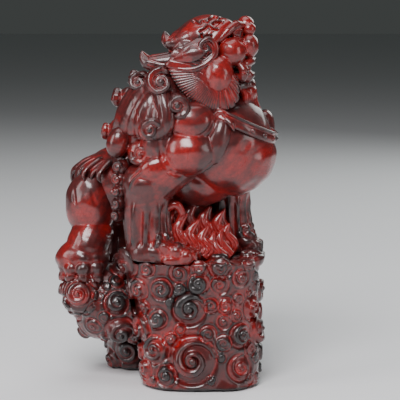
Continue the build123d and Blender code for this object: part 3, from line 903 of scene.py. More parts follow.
def carve_tail():
    """A drape of pointed leaves over the rump."""
    low, high = corners("tail")
    form = bmesh.new()
    root = Vector((low.x + 22, low.y + 22, high.z - 21))
    ball(form, root + Vector((2, 1, -3)), (20, 21, 11), (0, -22, 0))
    up = Vector((-0.3, 0, 1))
    leaves = [
        ((14, -6, 8), (2, -16, 8), (-8, -22, 0), (-7, -24, -14), 8.5),
        ((12, -2, 9), (-4, -10, 9), (-16, -16, 2), (-18, -18, -12), 8.5),
        ((12, 2, 10), (-6, -2, 9), (-19, -6, 2), (-22, -6, -13), 8.5),
        ((12, 6, 10), (-4, 8, 9), (-18, 8, 3), (-22, 8, -12), 9),
        ((14, 10, 9), (0, 18, 8), (-12, 22, 3), (-16, 26, -11), 9),
        ((18, 12, 8), (10, 24, 6), (0, 32, 2), (-6, 36, -12), 9),
        ((22, -8, 9), (14, -20, 5), (8, -25, -4), (9, -26, -18), 7.5),
        ((26, 8, 8), (24, 20, 4), (18, 30, -3), (14, 34, -15), 8),
    ]
    for first, second, third, last, width in leaves:
        points = about(root, first, second, third, last)
        leaf(form, points, width * 0.72, 2.6, up)
        side = (points[1] - points[0]).cross(up).normalized() * width * 0.75
        for way in (-1, 1):
            start = points[1] + (points[2] - points[1]) * 0.15
            leaf(form, [start, start + side * way + UP, points[2] + side * way * 1.5,
                        (points[2] + points[3]) / 2 + side * way * 1.9], width * 0.42, 2.2, up)

    def carve(places, normals):
        for first, second, third, last, width in leaves:
            points = [root + Vector(point) + Vector((0, 0, 2)) for point in (first, second, third, last)]
            for offset in (-0.34, 0, 0.34):
                side = (points[1] - points[0]).cross(up).normalized() * width * offset
                groove(places, normals, [point + side for point in points], 1.0, 0.9, 0.2)
    finish_piece(form, "tail_carved", ["tail"], "lacquer_coat", 0.5, 2, carve, most=120000)


MANE = CHEST + Vector((-34, 4, 15))
FALL = MANE + Vector((-12, 6, -16))


def mane_skin():
    """The rounded mass that strands and curls are laid on."""
    form = bmesh.new()
    ball(form, MANE, (33, 32, 30.5), detail=5)
    ball(form, FALL, (24.5, 28, 26), detail=5)
    ball(form, CHEST + Vector((-12, 0, 30)), (25, 24, 19), detail=5)
    return form


def strand(form, skin, points, thick, thin=0.8, lift=0.3):
    """A lock of hair that follows the mane's surface from its root to its tip."""
    path = smooth_path([Vector(point) for point in points], 7)
    laid, ups = [], []
    for point in path:
        foot, out = on_skin(skin, point)
        laid.append(foot + out * thick * lift)
        ups.append(out)
    sweep(form, laid, swell(thick, thin, len(laid)), 0.9, ups, 12)


def swell(thick, thin, count):
    """Radii of a lock: quick swell, long taper."""
    return [max(0.3, thin + (thick - thin) * math.sin(math.pi * (0.18 + 0.82 * index / (count - 1))) ** 0.7)
            for index in range(count)]


def carve_mane():
    """Locks that fall from the neck, and a hooked one on each side."""
    form = mane_skin()
    skin = skin_of(form)
    for side in (-1, 1):
        for index in range(7):
            lean = index / 6
            root = MANE + Vector((6 - 24 * lean, side * (26 - 14 * lean), 26 - 2 * lean))
            bend = MANE + Vector((-7 - 30 * lean, side * (36 - 18 * lean), 8 - 2 * lean))
            low = FALL + Vector((12 - 40 * lean, side * (30 - 18 * lean), 6 - 6 * lean))
            tip = FALL + Vector((8 - 30 * lean, side * (28 - 16 * lean), -16 - 2 * lean))
            strand(form, skin, [root, bend, low, tip],
                   sizes().strand_width / MM - 0.5 * (index % 2))
        hook = about(MANE, (-6, side * 30, 22), (-3, side * 33, 14), (-1, side * 35, 6), (-3, side * 35, -2),
            (-11, side * 35, -7))
        strand(form, skin, hook, 6.4, 4.2, 0.7)
        outer = about(MANE, (8, side * 26, 24), (12, side * 34, 15), (9, side * 37, 8), (3, side * 37, 10))
        strand(form, skin, outer, 3.6, 2.4, 0.6)

    def carve(places, normals):
        flow = places[:, 0] * 0.62 + places[:, 1] * 0.38 + 2.0 * np.sin(places[:, 2] * 0.11)
        line = np.abs(np.sin(flow))
        places -= normals * (0.25 * (1 - line) ** 3)[:, None]
    finish_piece(form, "mane_carved", ["mane"], "lacquer_mane", 0.6, 3, carve)


def snail(form, skin, middle, radius, facing, hand, start, turns=1.6):
    """A snail curl: a dome on the skin, turned towards facing, with a thick coil wound in to a bead."""
    foot, out = on_skin(skin, Vector(middle))
    foot += out * 1.2
    out = (out * 0.45 + facing).normalized()
    size = (radius * 1.02, radius * 1.02, radius * 0.72)
    disc(form, foot - out * 0.6, out, size)
    dome = bmesh.new()
    disc(dome, foot - out * 0.6, out, size)
    top = skin_of(dome)
    dome.free()
    scroll(form, top, foot + out * radius, radius * 1.12, hand, start, turns=turns, lift=0.30, tail=0.12,
           heavy=1.12, mound=False)


def carve_curls(places, facing, name, node, seed, hand=1):
    """Snail curls seated on the mane; a radius below zero stands for a plain egg of that size."""
    rest = mane_skin()
    ball(rest, HEAD + Vector((-8, 0, -14)), (18, 22, 12))
    skin = skin_of(rest)
    rest.free()
    form = bmesh.new()
    draw = np.random.default_rng(seed)
    for point, radius in places:
        if radius < 0:
            ball(form, Vector(point), (-radius, -radius, -1.4 * radius), (0, 14, 0))
            continue
        snail(form, skin, point, radius * sizes().curl_scale, Vector(facing), hand, draw.uniform(0, 6.28))
    finish_piece(form, name, [node], "lacquer_mane", 0.38, 2, None, (3, 12), 120000)


def carve_right_curls():
    """The curls on the near side."""
    places = [((-25, -26, 207), 12.6), ((-41, -12, 204), 8.0), ((-14, -38, 191), 10.2),
              ((-34, -36, 173), 9.4), ((-54, -16, 163.5), -7.6), ((-42, -31, 156), 9.2)]
    carve_curls(places, (0, -1, 0.1), "mane_curls_near", "mane_curls_right", 2)


def carve_left_curls():
    """The curls on the far side."""
    places = [((-22, 24, 207), 10.5), ((-15, 36, 192), 8.4), ((-26, 39, 176), 8.4), ((-46, 36, 166), 8.6),
              ((-30, 40, 156), 8.0)]
    carve_curls(places, (0, 1, 0.1), "mane_curls_far", "mane_curls_left", 3, -1)


def carve_back_curls():
    """The curls along the skyline."""
    places = [((-50, 12, 190), 8.8), ((-62, 14, 170), 9.0), ((-56, 24, 154), 8.0), ((-40, 6, 203), 7.6)]
    carve_curls(places, (-1, 0, 0.1), "mane_curls_crown", "mane_curls_back", 4)


def carve_elbow_curls(foot, out, girth, name, node):
    """A row of five falling curls behind a foreleg."""
    form = bmesh.new()
    for index in range(5):
        middle = foot + Vector((-girth * 1.12 - 0.7 * index, -out * 1, 62 - 8.0 * index))
        radius = 5.2 - 0.2 * index
        facing = Vector((-0.35, out, 0.1)).normalized()
        base = bmesh.new()
        disc(base, middle, facing, (radius, radius, radius))
        skin = skin_of(base)
        disc(form, middle, facing, (radius, radius, radius))
        scroll(form, skin, middle + facing * radius, radius * 1.1, -out, 1.0 + index, turns=1.6, lift=0.34,
               tail=0.1, mound=False)
        base.free()
    finish_piece(form, name, [node], "lacquer_coat", 0.36, 2, None, (3, 10), 60000)


# ---- the head ----------------------------------------------------------------

def on_side(way, *rows):
    """Places from the head's middle, as given or mirrored to its other side."""
    return [HEAD + Vector((x, y * way, z)) for x, y, z in rows]


def both(place):
    """A place given from the head's middle, and its twin on the other side."""
    return on_side(1, place) + on_side(-1, place)


def paired(form, points, radii, flat=1.0, up=UP, sides=12):
    """The same strand on both sides of the head."""
    for way in (1, -1):
        ribbon(form, on_side(way, *points), radii, flat, Vector((up.x, up.y * way, up.z)), sides)


HEAD_BALLS = (
    ((7.2, -19.5, -12), (10.8, 10.5, 13.2), 5), ((16.5, -13.5, 3), (9.7, 9.6, 9.7), 5),
    ((28.4, -7.6, 6.8), (6.2, 7.0, 7.8), 5), ((20.0, -10.5, 15.2), (4.2, 4.2, 4.2), 4),
    ((27.0, -12.5, -12.5), (4.2, 4.0, 4.4), 4), ((18.4, -16.5, -21), (3.6, 3.4, 3.6), 4),
)


def carve_head():
    """Skull, cheeks, brow balls, eyes, lips, teeth and fangs."""
    form = bmesh.new()
    ball(form, HEAD + Vector((-3, 0, -1)), (18, 19, 19.5), detail=5)
    ball(form, HEAD + Vector((16, 0, 9)), (13, 12.5, 8.5), detail=5)
    ball(form, HEAD + Vector((10, 0, 17)), (10, 10, 8))
    for place, size, detail in HEAD_BALLS:
        for at in both(place):
            ball(form, at, size, detail=detail)
    paired(form, [(19, -14.5, -5), (25.5, -12.5, -4.5), (29.5, -8, -3.2), (31, 0, -2.6)],
           (1.6, 2.6, 2.6, 2.4))
    paired(form, [(22, -15.5, -5), (24.5, -16.8, -9), (23.5, -16.6, -13.5), (20, -15.8, -13)],
           (2.6, 3.4, 3.0, 1.6))
    paired(form, [(8, -18, 10), (14, -16, 16.5), (20, -11.5, 20.5), (26, -6, 19.5)], (1.6, 3.0, 2.9, 1.6))
    paired(form, [(14, -16, 9), (20, -14.8, 10.2), (26, -9, 11)], (0.8, 1.7, 0.8))
    for index in range(5):
        y = -10 + 5 * index
        ball(form, HEAD + Vector((29 - abs(y) * 0.35, y, -5.0)), (1.6, 1.8, 2.8), detail=3)
    for at in both((27.5, -9.5, -4.5)):
        ribbon(form, [at, at + Vector((0.6, 0, -4)), at + Vector((-0.4, 0, -8))], (2.0, 1.7, 0.4))

    def carve(places, normals):
        for at in both((20.5, -10.5, 15.0)):
            pupil = at + Vector((3.2, -1.6 if at.y < HEAD.y else 1.6, -0.4))
            away = np.linalg.norm(places - np.array(pupil), axis=1)
            rim = 0.25 * np.exp(-((away - 2.5) / 0.6) ** 2)
            places -= normals * (0.9 * np.exp(-(away / 1.3) ** 2) - rim)[:, None]
        places += normals * (0.10 * ripple(places, 5, 12))[:, None]
    finish_piece(form, "head_carved", ["head"], "lacquer_coat", 0.42, 2, carve, (3, 12), 190000)


def carve_jaw():
    """Lower jaw with lip, teeth, tongue and chin."""
    form = bmesh.new()
    ball(form, HEAD + Vector((15, 0, -20)), (16, 12.5, 7.5), (0, -6, 0), detail=5)
    paired(form, [(12, -14.5, -13), (21, -13, -13.5), (28, -8.5, -12.8), (30.5, 0, -12.4)],
           (2.0, 2.8, 2.6, 2.4))
    for index in range(5):
        y = -8 + 4 * index
        ball(form, HEAD + Vector((27.5 - abs(y) * 0.4, y, -10.8)), (1.5, 1.5, 2.3), detail=3)
    for at in both((27, -9.5, -12)):
        ribbon(form, [at, at + Vector((0.6, 0, 4)), at + Vector((0.2, 0, 7))], (2.1, 1.7, 0.4))
    tongue = about(HEAD, (6, 0, -13), (18, 0, -10), (25, 0, -10.5), (28, 0, -12))
    ribbon(form, tongue, (5, 6, 5, 2.5), 0.45, UP, 16)
    for at in both((19, -12.5, -22)):
        ball(form, at, (3.4, 3.2, 3.4))
    ball(form, HEAD + Vector((27, 0, -19)), (6.0, 7.5, 5.5))
    finish_piece(form, "jaw_carved", ["lower_jaw"], "lacquer_coat", 0.42, 2, None, (3, 12), 120000)


def carve_nose():
    """Bulb, bridge and nostrils."""
    form = bmesh.new()
    ball(form, HEAD + Vector((26, 0, 20.5)), (5.8, 6.2, 5.8))
    ribbon(form, about(HEAD, (17, 0, 17.5), (22, 0, 18), (27, 0, 19.5)),
           (3.6, 4.0, 4.6))
    for at in both((28.0, -6.2, 17.4)):
        ball(form, at, (4.8, 4.2, 4.6))

    def carve(places, normals):
        for at in both((32.4, -5.8, 15.6)):
            dent(places, normals, at, 1.7, 1.5)
    finish_piece(form, "nose_carved", ["nose"], "lacquer_coat", 0.4, 2, carve, (3, 12), 60000)


def blade(form, points, widths, thick, up):
    """A flat lock of even thickness whose width follows the given values."""
    path = smooth_path([Vector(point) for point in points], 8)
    radii = taper(widths, len(path))
    sweep(form, path, radii, [min(1.0, thick / max(radius, 0.1)) for radius in radii], up, 18)


def etch(places, normals, way, points, width, depth):
    """Cut a line that is drawn on one side of the head, seen from that side."""
    path = smooth_path([Vector((HEAD.x + x, 0, HEAD.z + z)) for x, z in points], 5)
    gap, _ = along(places * np.array([1, 0, 1]), path)
    facing = step_between(2.0, 4.0, (HEAD.y - places[:, 1]) * way)
    places -= normals * (depth * facing * np.clip(1 - (gap / width) ** 2, 0, 1))[:, None]


CREST_CUTS = (
    ((-4, 16.5), (-1, 18.0), (1.5, 20.3), (4, 18.3), (7, 17.8)),
    ((2, 24.0), (5.5, 26.0), (8.5, 24.6), (13, 25.4)),
    ((4.5, 21.4), (7, 22.6), (10, 22.0)),
    ((-3, 14.4), (-2.6, 12), (-0.6, 10.8), (1.0, 13.2), (3, 13.6)),
    ((-8, 23), (-4.5, 21.5), (-2, 23.2), (1, 22.5)),
)


def carve_crest():
    """Domed crest with swept locks, brow bands and wavy cuts."""
    form = bmesh.new()
    ball(form, HEAD + Vector((-1, 0, 12.5)), (19.5, 18.5, 14.2), (0, -14, 0), detail=5)
    ball(form, HEAD + Vector((-12, 0, 4)), (13, 18.5, 13), detail=5)
    side = ACROSS
    blade(form, about(HEAD, (-6, 0, 15), (-15, 0, 11), (-22, 0, 9.5), (-26, 0, 11.0), (-27.5, 0, 16.5)),
        (10, 8.0, 6.0, 4.2, 0.3), 8.0, side)
    for way in (1, -1):
        lean = Vector((0, -way, 0.25))
        low = on_side(way, (-6, -14, 0), (-20, -14, -3), (-31, -13, -4.5), (-39, -12, -3.6), (-43, -11, 3))
        blade(form, low, (9, 6.6, 5.6, 4.2, 0.3), 4.6, lean)
        upper = on_side(way, (-4, -12, 13), (-13, -11.5, 11), (-20, -10, 8.5), (-25, -9, 9.0),
                        (-27, -8, 13.5))
        blade(form, upper, (8, 6.4, 4.8, 3.4, 0.3), 4.2, lean)
        band = on_side(way, (0, -19, 6), (5, -18, 12), (10, -15.5, 17.5), (15, -11, 22))
        blade(form, band, (2.4, 4.4, 4.2, 2.8), 2.4, lean)

    def carve(places, normals):
        for way in (1, -1):
            for cut in CREST_CUTS:
                etch(places, normals, way, cut, 0.95, 2.6)
            etch(places, normals, way, ((-14, 5), (-20, 3.2), (-27, 3.0), (-34, 2.6)), 1.0, 1.6)
            for drop in (-3.5, -7):
                etch(places, normals, way, ((-20, drop), (-29, drop - 0.5), (-38, drop + 2)), 0.8, 0.5)
        places += normals * (0.12 * ripple(places, 7, 21))[:, None]
    finish_piece(form, "crest_carved", ["crest"], "lacquer_coat", 0.45, 2, carve, (3, 12), 150000)


def carve_ear(way, name, node):
    """A cupped leaf with a rolled edge and a small spiral at its root."""
    form = bmesh.new()
    lean = Vector((-0.12, -way, 0.22))
    blade(form, on_side(way, (4, -20.5, 6.5), (-4, -23, 4.5), (-13, -23.5, 1.5), (-26, -21.5, -4)),
          (6.0, 8.4, 6.8, 0.3), 3.4, lean)
    middle = on_side(way, (-2, -24.5, 3.5), (-9, -25, 2.6), (-18, -23.5, -0.5))
    blade(form, middle, (4.0, 5.2, 1.0), 3.0, lean)
    curl = on_side(way, (-27, -21.5, -4), (-18, -25, -7.4), (-8.5, -25.8, -7.6), (0.5, -24.5, -3.8),
            (5.8, -23.5, 2.4), (5.6, -23.5, 8.6), (1.4, -24, 11.8), (-2.8, -25, 9.6),
            (-3.4, -26, 5.6), (-0.6, -26.6, 3.8), (1.8, -26.6, 5.8), (0.4, -26.8, 7.8))
    ribbon(form, curl, (0.3, 2.0, 2.3, 2.3, 2.2, 2.0, 1.8, 1.6, 1.4, 1.2, 1.0, 0.8), 0.9, lean, 12)

    def carve(places, normals):
        etch(places, normals, way, ((-25, -4.2), (-16, -4.6), (-8, -4.2), (-1.5, -0.6), (2.2, 3)), 1.3, 1.6)
    finish_piece(form, name, [node], "lacquer_coat", 0.36, 2, carve, (3, 12), 60000)


def carve_ruff():
    """Fringe plate on each side, from the ear to the chin, with fine ribs that fan out from the cheek."""
    form = bmesh.new()
    for way in (1, -1):
        ball(form, HEAD + Vector((-1.5, -24.0 * way, -13.5)), (27, 3.0, 16.4), (-6 * way, 39.8, 0), detail=5)
        ball(form, HEAD + Vector((7, -19.5 * way, -20)), (15, 4.5, 15.5), (-14 * way, 10, 0), detail=5)
        corner = on_side(way, (-8, -24, -11), (-18, -24, -8), (-27, -22.5, -3.5))
        blade(form, corner, (9, 6.5, 0.4), 2.4, Vector((0, way, 0)))
    for index in range(9):
        y = -15 + 3.75 * index
        fold = about(HEAD, (15, y, -21), (16, y * 1.1, -30), (13, y * 1.1, -35.5))
        ribbon(form, fold, (3.0, 2.8, 1.6), 0.8, Vector((1, 0, 0)), 10, 5)

    def carve(places, normals):
        x, z = places[:, 0] - HEAD.x - 9, places[:, 2] - HEAD.z + 8
        turn, reach = np.arctan2(z, x), np.hypot(x, z)
        out = np.abs(places[:, 1] - HEAD.y)
        fine = np.abs(np.sin(turn * 46 + 0.10 * reach))
        low = step_between(-1.75, -1.55, turn)
        broad = np.abs(np.sin(turn * 14))
        rib = (1 - low) * (1 - fine) ** 1.5 * sizes().rib_depth / MM + low * (1 - broad) ** 3 * 1.2
        shown = step_between(11, 14, out) * step_between(9, 13, reach)
        places -= normals * (rib * shown)[:, None]
    finish_piece(form, "ruff_carved", ["jaw_ruff"], "lacquer_coat", 0.4, 1, carve, (2, 8), 160000)


def carve_beard():
    """Nine strands that fall from the chin."""
    form = bmesh.new()
    for index in range(9):
        y = -8 + 2 * index
        spread = abs(index - 4)
        root = HEAD + Vector((27 - spread * 1.3, y * 0.9, -20))
        bend = HEAD + Vector((32 - spread * 1.5, y * 1.05, -30))
        tip = HEAD + Vector((38 - spread * 2.6, y * 0.6, -43 + spread * 2.4))
        line = [root, (root + bend) / 2 + Vector((2.0, 0, 0)), bend, *about(tip, (0, 0, 2), (2, 0, 0))]
        ribbon(form, line, (2.4, 3.0, 2.8, 1.8, 0.5), 0.9, Vector((1, 0, 0)), 10)
    ball(form, HEAD + Vector((27, 0, -24)), (7, 8.5, 7))
    finish_piece(form, "beard_carved", ["chin_beard"], "lacquer_red", 0.4, 2, None, (3, 10), 80000)


# ---- collar, flames and the small hidden parts -------------------------------

COLLAR_TILT = math.radians(25)


def collar_point(angle, proud=0.0):
    """A point of the collar's line round the chest, and the outward direction there."""
    size = np.array([34.5, 33, 36]) + 0.6 + proud
    normal = np.array([math.sin(COLLAR_TILT), 0, math.cos(COLLAR_TILT)])
    out = np.array([math.cos(angle), math.sin(angle), 0])
    out = out - normal * (out @ normal)
    start = np.array([0, 0, 20.0])
    a = ((out / size) ** 2).sum()
    b = 2 * (start * out / size ** 2).sum()
    c = ((start / size) ** 2).sum() - 1
    place = start + out * (-b + math.sqrt(b * b - 4 * a * c)) / (2 * a)
    slope = Vector(place / size ** 2).normalized()
    return CHEST + Vector(place), slope


def carve_collar():
    """Band with two rims, and a knot with a tail at each end."""
    form = bmesh.new()
    line = [collar_point(angle) for angle in np.linspace(-1.85, 1.85, 70)]
    path, ups = [place for place, _ in line], [out for _, out in line]
    half = sizes().collar_width / MM / 2
    sweep(form, path, [half] * len(path), 0.42, ups, 14)
    normal = Vector((math.sin(COLLAR_TILT), 0, math.cos(COLLAR_TILT)))
    for shift in (-0.82 * half, 0.82 * half):
        rim = [place + normal * shift + out * 0.9 for place, out in line]
        sweep(form, rim, [1.0] * len(rim), 1.0, ups, 8)
    for angle in (-1.58, 1.58):
        middle, out = collar_point(angle, 1.2)
        side = normal.cross(out).normalized()
        loop = [middle + (side * math.cos(turn) + normal * math.sin(turn)) * (1.4 + 0.75 * turn)
                for turn in np.linspace(0.4, 5.2, 20)]
        sweep(form, loop, taper((0.9, 1.5, 1.9, 1.7, 0.5), len(loop)), 0.8, out, 10)
        ribbon(form, [middle + side * 3, middle + side * 8 - normal * 1.5, middle + side * 12 - normal * 5],
               (1.6, 2.2, 0.5), 0.7, out, 10)
    finish_piece(form, "collar_carved", ["collar_band"], "lacquer_coat", 0.4, 2, None, (3, 10), 100000)


def carve_studs():
    """Seven round studs on the collar."""
    form = bmesh.new()
    radius = sizes().stud_radius / MM
    for angle in np.linspace(-0.84, 0.84, 7):
        middle, out = collar_point(angle, 1.5)
        disc(form, middle, out, (radius, radius, 0.8 * radius), 3)
        disc(form, middle + out * 0.6 * radius, out, (0.42 * radius,) * 3, 2)
    finish_piece(form, "studs_carved", ["collar_studs"], "lacquer_coat", 0.26, 1, None, (3, 8), 40000)


FLAMES = (
    ((-21, -6, 4), (-17, -9, 14), (-19, -8, 24), (-13, -6, 34), 5.0),
    ((-13, -11, 4), (-9, -12, 12), (-12, -10, 21), (-5, -8, 31), 5.0),
    ((-4, -13, 3), (0, -13, 10), (-4, -11, 18), (3, -9, 27), 4.8),
    ((5, -14, 3), (9, -13, 8), (4, -11, 15), (9, -9, 23), 4.6),
    ((20, -12, 2), (14, -12, 6), (11, -10, 12), (13, -8, 19), 4.2),
    ((24, -8, 2), (19, -7, 7), (16, -6, 13), (18, -4, 20), 4.0),
    ((-17, 2, 8), (-13, 2, 20), (-16, 4, 30), (-9, 6, 40), 5.6),
    ((-6, 1, 8), (-2, 2, 18), (-5, 4, 28), (2, 6, 38), 5.6),
    ((5, 1, 8), (9, 2, 16), (5, 4, 25), (10, 6, 34), 5.2),
    ((-19, 10, 8), (-14, 10, 20), (-15, 11, 30), (-9, 12, 40), 6.0),
    ((-5, 11, 8), (0, 11, 20), (-2, 12, 30), (4, 13, 41), 6.0),
    ((8, 10, 6), (11, 10, 14), (7, 11, 24), (11, 12, 33), 5.4),
    ((14, 1, 4), (19, 1, 13), (14, 2, 22), (19, 3, 31), 5.0),
    ((22, 2, 2), (25, 1, 9), (20, 1, 16), (23, 2, 23), 4.4),
    ((18, 10, 4), (21, 9, 14), (17, 9, 24), (20, 10, 32), 5.0),
)


FRONT_LICKS = 6


def lick(form, points, width, facing):
    """One tongue of flame, flattened towards -Y or +Y."""
    radii = (width * 0.8, width, width * 0.9, width * 0.7, 0.4)
    ribbon(form, points, radii, 0.8, Vector((0, facing, 0.3)), 14)


def carve_flames():
    """Licks in front and behind, on a low mound."""
    form = bmesh.new()
    base = (NEAR_FOOT + FAR_FOOT) / 2 + Vector((2, -5, 0))
    ball(form, base + Vector((0, 4, 2)), (24, 17, 14))
    ball(form, base + Vector((-4, 13, 16)), (20, 6, 20))
    ball(form, base + Vector((12, 10, 4)), (14, 8, 14))
    for *points, width in FLAMES:
        lick(form, about(base, *points), width, -1)
    for *points, width in FLAMES[FRONT_LICKS:]:
        lick(form, [base + Vector((x - 2, 26 - y, z)) for x, y, z in points], width, 1)
    ribbon(form, about(base, (-22, -8, 22), (-20, -10, 33), (-13, -11, 37), (-9, -10, 31), (-12, -9, 25)),
        (2.6, 3.2, 3.2, 2.8, 1.6), 0.9, ACROSS, 12)
    cut_at(form, STAND + 0.2)

    def carve(places, normals):
        for *points, width in FLAMES:
            for shift in (-0.35, 0.35):
                aside = Vector((shift * width, -width * 0.7, 0))
                groove(places, normals, [point + aside for point in about(base, *points)], 1.0, 0.9, 0.15)
    finish_piece(form, "flames_carved", ["flame_tuft"], "lacquer_red", 0.45, 2, carve, (3, 12), 120000)


def dress_hidden_parts():
    """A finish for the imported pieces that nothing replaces."""
    for node, slot in (("base_felts", "felt"), ("paw_dowels", "dowel_wood"), ("neck_dowel", "dowel_wood"),
                       ("rock_dowels", "dowel_wood")):
        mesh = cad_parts[node].data
        mesh.materials.clear()
        mesh.materials.append(finish_for(slot))


# ---- the stage ---------------------------------------------------------------

def soft_light(name, place, aim, size, power, tint=(1, 1, 1)):
    """A rectangular lamp that points at a place."""
    data = bpy.data.lights.new(name, "AREA")
    data.shape = "RECTANGLE"
    data.size, data.size_y = size
    data.energy = power
    data.color = tint
    light = bpy.data.objects.new(name, data)
    light.location = place
    light.rotation_euler = (Vector(aim) - Vector(place)).to_track_quat("-Z", "Y").to_euler()
    bpy.context.collection.objects.link(light)


def set_stage():
    """Floor, room light, lamps and camera."""
    view = bpy.context.scene.foo_dog_view
    form = bmesh.new()
    bmesh.ops.create_grid(form, x_segments=1, y_segments=1, size=8)
    mesh = bpy.data.meshes.new("floor")
    form.to_mesh(mesh)
    form.free()
    floor = bpy.data.objects.new("floor", mesh)
    bpy.context.collection.objects.link(floor)
    material = bpy.data.materials.new("Pale floor")
    material.use_nodes = True
    shader = material.node_tree.nodes["Principled BSDF"]
    shader.inputs["Base Color"].default_value = (0.80, 0.81, 0.82, 1)
    shader.inputs["Roughness"].default_value = 0.6
    mesh.materials.append(material)

    world = bpy.data.worlds.new("Soft room")
    world.use_nodes = True
    world.node_tree.nodes["Background"].inputs["Color"].default_value = (0.62, 0.68, 0.66, 1)
    world.node_tree.nodes["Background"].inputs["Strength"].default_value = 0.08
    bpy.context.scene.world = world

    soft_light("key", (-0.28, -0.90, 1.05), (0, 0, 0.14), (0.60, 0.50), 19, (1, 0.96, 0.98))
    soft_light("sky", (-0.05, 0.05, 1.3), (0, 0, 0.14), (1.0, 0.9), 7, (0.97, 0.98, 1))
    soft_light("left", (-1.1, -0.5, 0.6), (0, 0, 0.12), (0.45, 0.9), 7, (1, 0.96, 0.97))
    soft_light("right", (1.0, -0.6, 0.45), (0, 0, 0.10), (0.3, 0.8), 2.8)
    soft_light("back", (0.7, 1.0, 0.8), (0, 0, 0.14), (0.8, 0.8), 6.5, (0.96, 1, 0.98))

    data = bpy.data.cameras.new("camera")
    data.lens = view.lens
    data.sensor_width = 36
    data.clip_end = 20
    camera = bpy.data.objects.new("camera", data)
    aim = Vector((0, 0, view.aim_height))
    tilt = view.tilt
    camera.location = aim + Vector((0, -math.cos(tilt), math.sin(tilt))) * view.distance
    camera.rotation_euler = (aim - camera.location).to_track_quat("-Z", "Y").to_euler()
    bpy.context.collection.objects.link(camera)
    bpy.context.scene.camera = camera


# ---- sizes and colours a user would change -----------------------------------

class FooDogSizes(PropertyGroup):
    scroll_lift: FloatProperty(
        name="Scroll lift", description="How far the rock's scrolls stand out, as a share of their radius",
        default=0.44, min=0.1, max=1)
    moat_depth: FloatProperty(
        name="Moat depth", description="Groove round each rock scroll, as a share of its radius",
        default=0.10, min=0, max=0.3)
    rock_swell: FloatProperty(
        name="Rock swell", description="Unevenness of the rock", default=0.0012, min=0, unit="LENGTH")
    scroll_seed: IntProperty(
        name="Scroll seed", description="Where the small scrolls of the pedestal fall", default=11, min=0)
    toe_size: FloatProperty(
        name="Toe size", description="Radius of a foreleg's toes", default=0.0056, min=0.001, unit="LENGTH")
    flute_depth: FloatProperty(
        name="Shin flutes", description="Depth of the folds on the shins", default=0.0024, min=0,
        unit="LENGTH")
    strand_width: FloatProperty(
        name="Mane strand", description="Half width of a lock of the mane", default=0.0056, min=0.001,
        unit="LENGTH")
    curl_scale: FloatProperty(
        name="Curl size", description="Scale of the mane's snail curls", default=1, min=0.5, max=1.5)
    rib_depth: FloatProperty(
        name="Ruff ribs", description="Depth of the fine ribs of the jaw ruff", default=0.00075, min=0,
        unit="LENGTH")
    collar_width: FloatProperty(
        name="Collar width", description="Width of the collar band", default=0.0078, min=0.002, unit="LENGTH")
    stud_radius: FloatProperty(
        name="Stud radius", description="Radius of the collar's studs", default=0.0019, min=0.0005,
        unit="LENGTH")


class FooDogFinish(PropertyGroup):
    red: FloatVectorProperty(
        name="Red", description="Lacquer on the slopes of the carving", subtype="COLOR",
        size=3, min=0, max=1, default=(0.235, 0.010, 0.009))
    # The deepest hollows take a third of this colour, which is painted shade.
    recess: FloatVectorProperty(
        name="Hollow red", description="Lacquer left deep in the hollows", subtype="COLOR",
        size=3, min=0, max=1, default=(0.36, 0.008, 0.009))
    brown: FloatVectorProperty(
        name="Crown brown", description="Rubbed lacquer on the crowns", subtype="COLOR",
        size=3, min=0, max=1, default=(0.070, 0.011, 0.010))
    black: FloatVectorProperty(
        name="Black", description="Dark patches over the red", subtype="COLOR",
        size=3, min=0, max=1, default=(0.010, 0.007, 0.007))


class FooDogView(PropertyGroup):
    lens: FloatProperty(name="Lens", description="Focal length", default=135, min=20, unit="CAMERA")
    distance: FloatProperty(
        name="Distance", description="Camera to the middle of the statue", default=1.008, unit="LENGTH")
    tilt: FloatProperty(
        name="Tilt", description="How far the camera looks down", default=math.radians(8), subtype="ANGLE")
    aim_height: FloatProperty(
        name="Aim height", description="Height the camera points at", default=0.1232, unit="LENGTH")


# ---- operators ---------------------------------------------------------------

class FOODOG_OT_rocks(Operator):
    """Carve the scroll rock column, the shelf behind it and the foot rock"""
    bl_idname = "foodog.rocks"
    bl_label = "Rocks"
    bl_options = {"REGISTER", "UNDO"}

    def execute(self, context):
        carve_pedestal()
        carve_shelf()
        carve_foot_rock()
        return {"FINISHED"}


class FOODOG_OT_paw_ball(Operator):
    """Carve the ball under the right hind paw"""
    bl_idname = "foodog.paw_ball"
    bl_label = "Scroll ball"
    bl_options = {"REGISTER", "UNDO"}

    def execute(self, context):
        carve_paw_ball()
        return {"FINISHED"}


class FOODOG_OT_torso(Operator):
    """Carve chest, belly, loins and rump"""
    bl_idname = "foodog.torso"
    bl_label = "Torso"
    bl_options = {"REGISTER", "UNDO"}

    def execute(self, context):
        carve_torso()
        return {"FINISHED"}


class FOODOG_OT_forelegs(Operator):
    """Carve both forelegs with their shoulders and paws"""
    bl_idname = "foodog.forelegs"
    bl_label = "Forelegs"
    bl_options = {"REGISTER", "UNDO"}

    def execute(self, context):
        carve_near_foreleg()
        carve_far_foreleg()
        return {"FINISHED"}


class FOODOG_OT_elbow_curls(Operator):
    """Carve the row of curls behind each foreleg"""
    bl_idname = "foodog.elbow_curls"
    bl_label = "Elbow curls"
    bl_options = {"REGISTER", "UNDO"}

    def execute(self, context):
        carve_elbow_curls(NEAR_FOOT, -1, 16.2, "elbow_curls_near", "elbow_curls_right")
        carve_elbow_curls(FAR_FOOT, 1, 12.6, "elbow_curls_far", "elbow_curls_left")
        return {"FINISHED"}


class FOODOG_OT_hind_legs(Operator):
    """Carve both folded hind legs"""
    bl_idname = "foodog.hind_legs"
    bl_label = "Hind legs"
    bl_options = {"REGISTER", "UNDO"}

    def execute(self, context):
        carve_right_hind()
        carve_left_hind()
        return {"FINISHED"}


